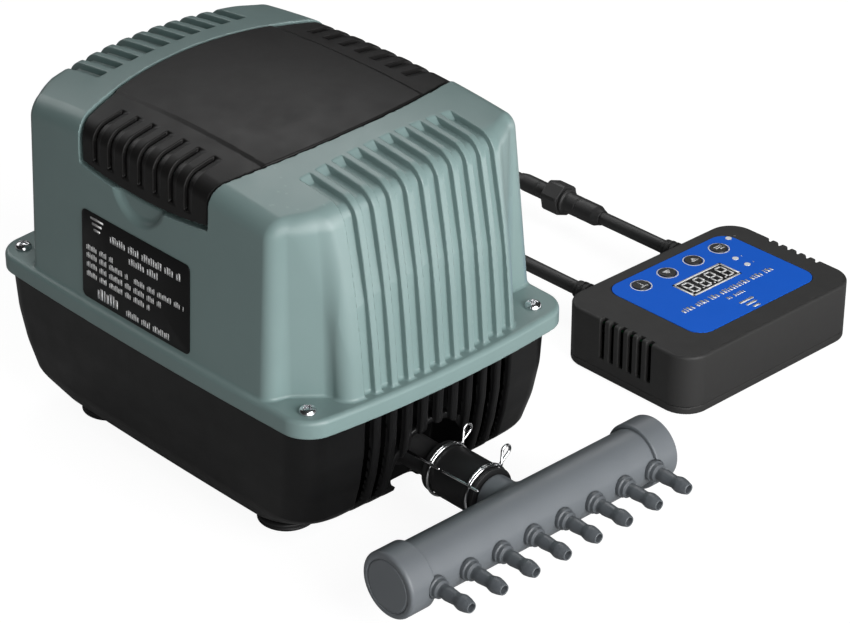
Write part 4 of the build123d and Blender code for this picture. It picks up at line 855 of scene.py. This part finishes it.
def marks(u0, u1, v0, v1, place, stroke, gap, words=(7, 5, 9, 4)):
    """A row of plain upright strokes in groups, standing for a line of print."""
    parts, u, n, word = [], u0, 0, 0
    widths = (1.0, 1.5, 0.8, 1.3, 1.1)
    while u + stroke < u1:
        width = stroke * widths[n % len(widths)]
        tall = (v1 - v0) * (1.0 if n % 3 else 0.8)
        parts.append(pad((width / 2, tall / 2), (u + width / 2, v0 + tall / 2), 0.04, place, 0.1))
        u += width + gap
        n += 1
        if n >= words[word % len(words)]:
            n, word, u = 0, word + 1, u + 1.5
    return parts


def make_label_print():
    rows = ((-16.2, 29.7, 11.0, 14.4, 0.8), (-3.8, 17.3, 6.0, 9.2, 0.8), (-32.3, -14.0, 2.2, 4.8, 0.55),
            (-32.3, -4.0, -1.5, 1.1, 0.55), (-0.5, 31.6, -1.5, 1.1, 0.55), (-32.3, 17.7, -5.7, -3.1, 0.55),
            (-32.3, 10.0, -9.9, -7.3, 0.55), (-5.7, 22.4, -18.3, -15.4, 0.65),
            (-25.0, -10.8, -17.9, -12.8, 1.1))
    parts = []
    for u0, u1, v0, v1, stroke in rows:
        parts += marks(u0, u1, v0, v1, label_place, stroke, stroke * 0.7)
    for k in range(3):
        reach = 4.4 - 1.1 * k
        parts.append(pad((reach, 0.55), (-25.0, 17.6 - 2.4 * k), 0.04, label_place, 0.5))
    finish_piece(stack("label_print", parts), "ink", "body", "label_black")


# ================ outlet and manifold
def make_hose():
    low, high = box_mm("outlet_hose")
    centre = (0, PUMP[1], PORT_Z)
    start, end, outer = low[0], high[0], HOSE_RADIUS
    outline = [(start, 7.6), (start, outer)]
    for offset in CLAMP_X:
        mid = PUMP[0] + offset
        outline += [(mid - 2.8, outer), (mid - 1.5, outer - 0.55)]
        outline += [(mid + 1.5, outer - 0.55), (mid + 2.8, outer)]
    outline += [(end, outer), (end, 7.6)]
    parts = [turned(outline, centre, 0, 0.7, 96)]
    finish_piece(stack("rubber_sleeve", parts), "rubber", "body", "hose_rubber", "outlet_hose")


def clamp_path(x):
    """Wire: a straight tail, a turn and a quarter round the hose, then a standing ear."""
    centre = np.array([x, PUMP[1], PORT_Z])
    points = []
    for s in np.linspace(0, 1, 8):
        radius = CLAMP_RING + TAIL_LIFT * (1 - s)
        reach = (-13.0 * (1 - s) - 0.7, radius * math.cos(CLAMP_TAIL), radius * math.sin(CLAMP_TAIL))
        points.append(centre + reach)
    for s in np.linspace(0.02, 1, 90):
        angle = CLAMP_TAIL - s * (2 * math.pi + CLAMP_TAIL - CLAMP_EAR)
        points.append(centre + (-0.7 + 1.4 * s, CLAMP_RING * math.cos(angle), CLAMP_RING * math.sin(angle)))
    base = points[-1]
    out = np.array([0, math.cos(CLAMP_EAR), math.sin(CLAMP_EAR)])
    side = np.array([0, -math.sin(CLAMP_EAR), math.cos(CLAMP_EAR)])
    for s in np.linspace(0.2, 1, 6):
        points.append(base + out * 6.1 * s - side * 2.0 * s)
    for s in np.linspace(0.08, 0.92, 14):
        angle = math.radians(-112 + 224 * s)
        points.append(base + out * (6.9 + 2.2 * math.cos(angle)) + side * 2.2 * math.sin(angle))
    for s in np.linspace(0, 1, 6):
        points.append(base + out * (6.1 - 5.2 * s) + side * (2.0 - 1.5 * s) + np.array([1.3 * s, 0, 0]))
    return points


def make_clamps():
    for name, x in zip(("hose_clamp_inner", "hose_clamp_outer"), CLAMP_X):
        reach = CLAMP_RING + TAIL_LIFT
        start = np.array([PUMP[0] + x + 1.4, PUMP[1] + reach * math.cos(CLAMP_TAIL),
                          PORT_Z + reach * math.sin(CLAMP_TAIL)])
        stub = [start + (4.5 * s, 0, 0) for s in np.linspace(0, 1, 4)]
        parts = [swept(clamp_path(PUMP[0] + x), CLAMP_WIRE), swept(stub, CLAMP_WIRE)]
        finish_piece(stack(name.replace("hose_", "wire_"), parts), "wire", "body", "clamp_wire", name)


def make_manifold():
    centre = np.array([PUMP[0] + MANIFOLD_X, PUMP[1], PORT_Z])
    pipe = moulding("manifold_pipe", pipe_field, (-38, -73, -14), (14, 73, 14), 0.7, centre)
    finish_piece(pipe, "pipe", "body", "manifold_pvc", "manifold_tube")
    for name, side in (("manifold_cap_front", -1), ("manifold_cap_rear", 1)):
        ys = sorted((side * 60.5, side * 76))
        cap = moulding(name.replace("manifold_", "end_"), cap_field(side), (-16, ys[0], -16),
                       (16, ys[1], 16), 0.45, centre)
        finish_piece(cap, "pipe", "body", "manifold_pvc", name)
    outline = [(10.6, 1.7), (10.6, 2.95), (12.2, 2.95), (12.2, 4.7), (14.1, 4.7), (14.4, 4.0), (16.1, 4.0),
               (16.4, 2.75), (17.3, 2.7), (19.3, 3.05), (20.1, 3.05), (24.1, 2.7), (24.7, 2.7),
               (27.1, 3.35), (27.9, 3.4), (30.1, 3.05), (32.5, 2.3), (32.5, 1.7)]
    parts = []
    for i in range(BARB_COUNT):
        y = (i - (BARB_COUNT - 1) / 2) * BARB_PITCH
        parts.append(turned(outline, centre + (0, y, 0), 0, 0.35, 56))
    finish_piece(stack("airline_barbs", parts), "barb", "body", "manifold_pvc", "manifold_barbs")


# ================ controller and leads
def make_controller():
    at = (CONTROLLER[0], CONTROLLER[1], 0)
    case = moulding("controller_shell", case_field, (-40.5, -58.5, 2.6), (40.5, 58.5, 31), 0.6, at)
    finish_piece(case, "case", "body", "case_charcoal", "controller_top_case")
    base = moulding("controller_tray", base_field, (-40.5, -58.5, -1.6), (40.5, 58.5, 20), 0.8, at)
    finish_piece(base, "case", "body", "case_charcoal", "controller_base")


def overlay_place(u, v, height):
    """Point on the overlay: u along +X and v along +Y from the controller's centre."""
    return (CONTROLLER[0] + u, CONTROLLER[1] + v, CASE_TOP - 0.02 + height)


def overlay_turned(u, v, height):
    """The same face read from the -X side: u runs along -Y, v along -X."""
    return overlay_place(-v, -u, height)


SEGMENTS = ((0, 4.2, 0), (0, 0, 0), (0, -4.2, 0), (-1.95, 2.1, 1), (1.95, 2.1, 1), (-1.95, -2.1, 1),
            (1.95, -2.1, 1))


def make_overlay_print():
    parts = []
    for y in BUTTON_Y:
        rim = [(0.0, 4.55), (0.0, 5.1), (0.05, 5.1), (0.05, 4.55)]
        parts.append(turned(rim, overlay_place(BUTTON_X, y, 0.01), 2, 0.02, 64))
    cx, cy = DISPLAY_CENTRE
    half_x, half_y = DISPLAY_HALF
    for sign in (-1, 1):
        parts.append(pad((half_x, 0.55), (cx, cy + sign * (half_y - 0.55)), 0.12, overlay_place, 0.2))
        parts.append(pad((0.55, half_y), (cx + sign * (half_x - 0.55), cy), 0.12, overlay_place, 0.2))
    for x, y in LED_XY:
        parts.append(pad((0.35, 0.35), (x + 0.2, y + 3.9), 0.03, overlay_place, 0.3))
    parts += marks(-34.2, 25.1, -7.9, -4.6, overlay_turned, 1.0, 0.75, (3, 4, 10))
    parts += marks(-9.4, 2.0, -12.9, -10.6, overlay_turned, 0.75, 0.55, (5, 5))
    for k in range(3):
        parts.append(pad((4.6 - 1.2 * k, 0.75), (-3.6, -18.4 - 3.0 * k), 0.04, overlay_turned, 0.6))
    finish_piece(stack("overlay_print", parts), "ink", "body", "overlay_blue")


def make_digits():
    """Four seven-segment digits with their points, all lit."""
    cx, cy = DISPLAY_CENTRE
    parts = []
    for i in range(4):
        centre_u = -cy + (i - 1.5) * 7.4
        for u, v, upright in SEGMENTS:
            half = (0.48, 1.85) if upright else (1.75, 0.48)
            parts.append(pad(half, (centre_u + u - 0.4, -cx + v), 0.10, overlay_turned, 0.3))
        parts.append(pad((0.5, 0.5), (centre_u + 3.1, -cx - 4.1), 0.10, overlay_turned, 0.45))
    finish_piece(stack("display_digits", parts), "ink", "body", "display_dark")


def make_key_marks():
    """Plain generic marks, each on its own key so that it moves with it."""
    top = box_mm("button_up")[1][2] + 0.01

    def face(u, v, height):
        return (CONTROLLER[0] - v, CONTROLLER[1] - u, top + height)
    marks_by_key = {
        "power": [((0.36, 2.0), (0, 0.6)), ((2.2, 0.36), (0, -1.9))],
        "down": [((2.2 - 0.5 * k, 0.36), (0, 1.2 - 0.7 * k)) for k in range(4)],
        "up": [((2.2 - 0.5 * k, 0.36), (0, -1.0 + 0.7 * k)) for k in range(4)],
        "mode": [((2.4, 0.38), (0, 1.2)), ((2.4, 0.38), (0, -0.1)), ((1.5, 0.38), (-0.9, -1.4))],
    }
    for (key, plates), y in zip(marks_by_key.items(), BUTTON_Y):
        parts = [pad(half, (u - y, v - BUTTON_X), 0.03, face, 0.2) for half, (u, v) in plates]
        finish_piece(stack("key_mark_" + key, parts), "ink", "key_" + key, "button_black")


LEAD_HOLE = 3.35


def make_strain_reliefs():
    wall = CONTROLLER[0] - CASE_HALF[0]
    parts = []
    for y in LEAD_Y:
        outline = [(wall + 4, LEAD_HOLE), (wall + 4, 4.9), (wall - 0.1, 4.9), (wall - 0.1, 6.6),
                   (wall - 2.6, 6.6)]
        for i in range(5):
            x = wall - 3.2 - 3.0 * i
            radius = 5.5 - 0.2 * i
            outline += [(x, radius), (x - 1.5, radius - 0.05), (x - 1.7, 4.3), (x - 2.8, 4.25)]
        outline += [(wall - 18.2, 4.35), (wall - 19.6, 4.2), (wall - 19.6, LEAD_HOLE)]
        parts.append(turned(outline, (0, CONTROLLER[1] + y, LEAD_Z), 0, 0.35))
    finish_piece(stack("lead_boots", parts), "boot", "body", "boot_rubber", "strain_reliefs")


PLUG_RADIUS, SOCKET_RADIUS, BORE_RADIUS, CORE_RADIUS = 5.2, 4.4, 3.36, 2.0


def make_connector():
    """Both halves of the waterproof connector, as turned mouldings."""
    centre = (0, CONTROLLER[1] + LEAD_Y[1], LEAD_Z)
    nut_low, nut_high = (corner[0] for corner in box_mm("connector_nut"))
    plug = [(-4.4, CORE_RADIUS), (-4.4, PLUG_RADIUS), (0.2, PLUG_RADIUS), (0.2, 6.4), (1.6, 6.4), (1.9, 5.5),
            (3.0, PLUG_RADIUS), (9.0, PLUG_RADIUS), (9.3, 4.95), (10.0, 4.95), (10.3, PLUG_RADIUS),
            (21.0, PLUG_RADIUS), (23.0, 4.3), (24.9, 3.7), (24.9, BORE_RADIUS), (0, BORE_RADIUS),
            (0, CORE_RADIUS)]
    socket = [(-21.1, BORE_RADIUS), (-21.1, 3.7), (-19.6, 4.0), (-17.4, SOCKET_RADIUS), (-8.0, SOCKET_RADIUS),
              (-7.7, 4.15), (-7.0, 4.15), (-6.7, SOCKET_RADIUS), (1.8, SOCKET_RADIUS), (1.8, PLUG_RADIUS),
              (5.6, PLUG_RADIUS), (5.6, CORE_RADIUS), (0, CORE_RADIUS), (0, BORE_RADIUS)]
    halves = (("plug_body", plug, nut_high, "connector_plug"),
              ("socket_body", socket, nut_low, "connector_socket"))
    for name, outline, start, node in halves:
        parts = [turned([(start + along, radius) for along, radius in outline], centre, 0, 0.3)]
        finish_piece(stack(name, parts), "connector", "body", "connector_black", node)


# ================ stage
def make_floor():
    """White floor that glows for the camera and stays dim for bounced light."""
    mesh = bpy.data.meshes.new("floor")
    reach = 6.0
    mesh.from_pydata([(-reach, -reach, 0), (reach, -reach, 0), (reach, reach, 0), (-reach, reach, 0)],
                     [], [(0, 1, 2, 3)])
    floor = bpy.data.objects.new("floor", mesh)
    bpy.context.scene.collection.objects.link(floor)
    floor.location.z = -0.0002
    material, tree, skin = shader("floor_white")
    skin.inputs["Roughness"].default_value = 0.9
    skin.inputs["Specular IOR Level"].default_value = 0.0
    paths = tree.nodes.new("ShaderNodeLightPath")
    seen = paths.outputs["Is Camera Ray"]
    tone = blend_colour(tree, seen, (0.40, 0.40, 0.40), (0.16, 0.16, 0.16))
    tree.links.new(tone, skin.inputs["Base Color"])
    glow = remap(tree, seen, 0, 1, 0.0, 0.93)
    skin.inputs["Emission Color"].default_value = (1, 1, 1, 1)
    tree.links.new(glow, skin.inputs["Emission Strength"])
    mesh.materials.append(material)


SOFTBOX_DISTANCE, SOFTBOX_SIZE = 1.8, 1.0
# name, degrees round from the front, degrees up, power
SOFTBOXES = (("side_low", 92, 8, 17.0), ("side_high", 92, 32, 17.0), ("front_right", 62, 15, 13.0),
             ("back_high", 227, 50, 7.5), ("left", 270, 30, 5.5))


def make_softbox(name, azimuth, elevation, power):
    """Square softbox aimed at the pump."""
    data = bpy.data.lights.new(name, "AREA")
    data.size = SOFTBOX_SIZE
    data.energy = power
    lamp = bpy.data.objects.new(name, data)
    a, e = math.radians(azimuth), math.radians(elevation)
    away = Vector((math.sin(a) * math.cos(e), -math.cos(a) * math.cos(e), math.sin(e)))
    aim = Vector((PUMP[0] * MM, PUMP[1] * MM, 0.08))
    lamp.location = aim + away * SOFTBOX_DISTANCE
    lamp.rotation_mode = "QUATERNION"
    lamp.rotation_quaternion = away.to_track_quat("Z", "Y")
    bpy.context.scene.collection.objects.link(lamp)


def make_card():
    """Upward-facing light on the floor behind the outlet, for the sheen on the side wall."""
    data = bpy.data.lights.new("card", "AREA")
    data.shape = "RECTANGLE"
    data.size, data.size_y = 0.55, 1.3
    data.energy = 7.0
    lamp = bpy.data.objects.new("card", data)
    turn = math.radians(128)
    reach = 0.72
    lamp.location = (PUMP[0] * MM + reach * math.sin(turn), PUMP[1] * MM - reach * math.cos(turn), 0.004)
    lamp.rotation_euler = (math.pi, 0, math.radians(38))
    lamp.visible_camera = False
    bpy.context.scene.collection.objects.link(lamp)


def make_lights():
    world = bpy.data.worlds.new("studio")
    bpy.context.scene.world = world
    world.use_nodes = True
    world.node_tree.nodes["Background"].inputs[0].default_value = (1, 1, 1, 1)
    world.node_tree.nodes["Background"].inputs[1].default_value = 0.02
    for softbox in SOFTBOXES:
        make_softbox(*softbox)
    make_card()
    bpy.context.scene.view_settings.view_transform = "Standard"


def make_camera():
    """Long lens from the front right corner, 47 degrees round and 29 degrees up."""
    azimuth, elevation = math.radians(47.02), math.radians(29.31)
    offset = Vector((835.34, -690.80, 662.67))
    data = bpy.data.cameras.new("camera")
    data.lens = 123.3
    data.sensor_width = 36.0
    data.sensor_fit = "HORIZONTAL"
    data.clip_start, data.clip_end = 0.05, 50
    camera = bpy.data.objects.new("camera", data)
    right = Vector((math.cos(azimuth), math.sin(azimuth), 0))
    back = Vector((math.sin(azimuth) * math.cos(elevation), -math.cos(azimuth) * math.cos(elevation),
                   math.sin(elevation)))
    turn = Matrix((right, back.cross(right), back)).transposed()
    camera.rotation_mode = "QUATERNION"
    camera.rotation_quaternion = turn.to_quaternion()
    camera.location = (Vector((PUMP[0], PUMP[1], 0)) + offset) * MM
    bpy.context.scene.collection.objects.link(camera)
    bpy.context.scene.camera = camera


dress_cad_nodes()
make_housing()
make_screws()
make_feet()
make_foam()
make_label_print()
make_hose()
make_clamps()
make_manifold()
make_controller()
make_overlay_print()
make_digits()
make_key_marks()
make_strain_reliefs()
make_connector()
make_floor()
make_lights()
make_camera()

bpy.context.view_layer.update()
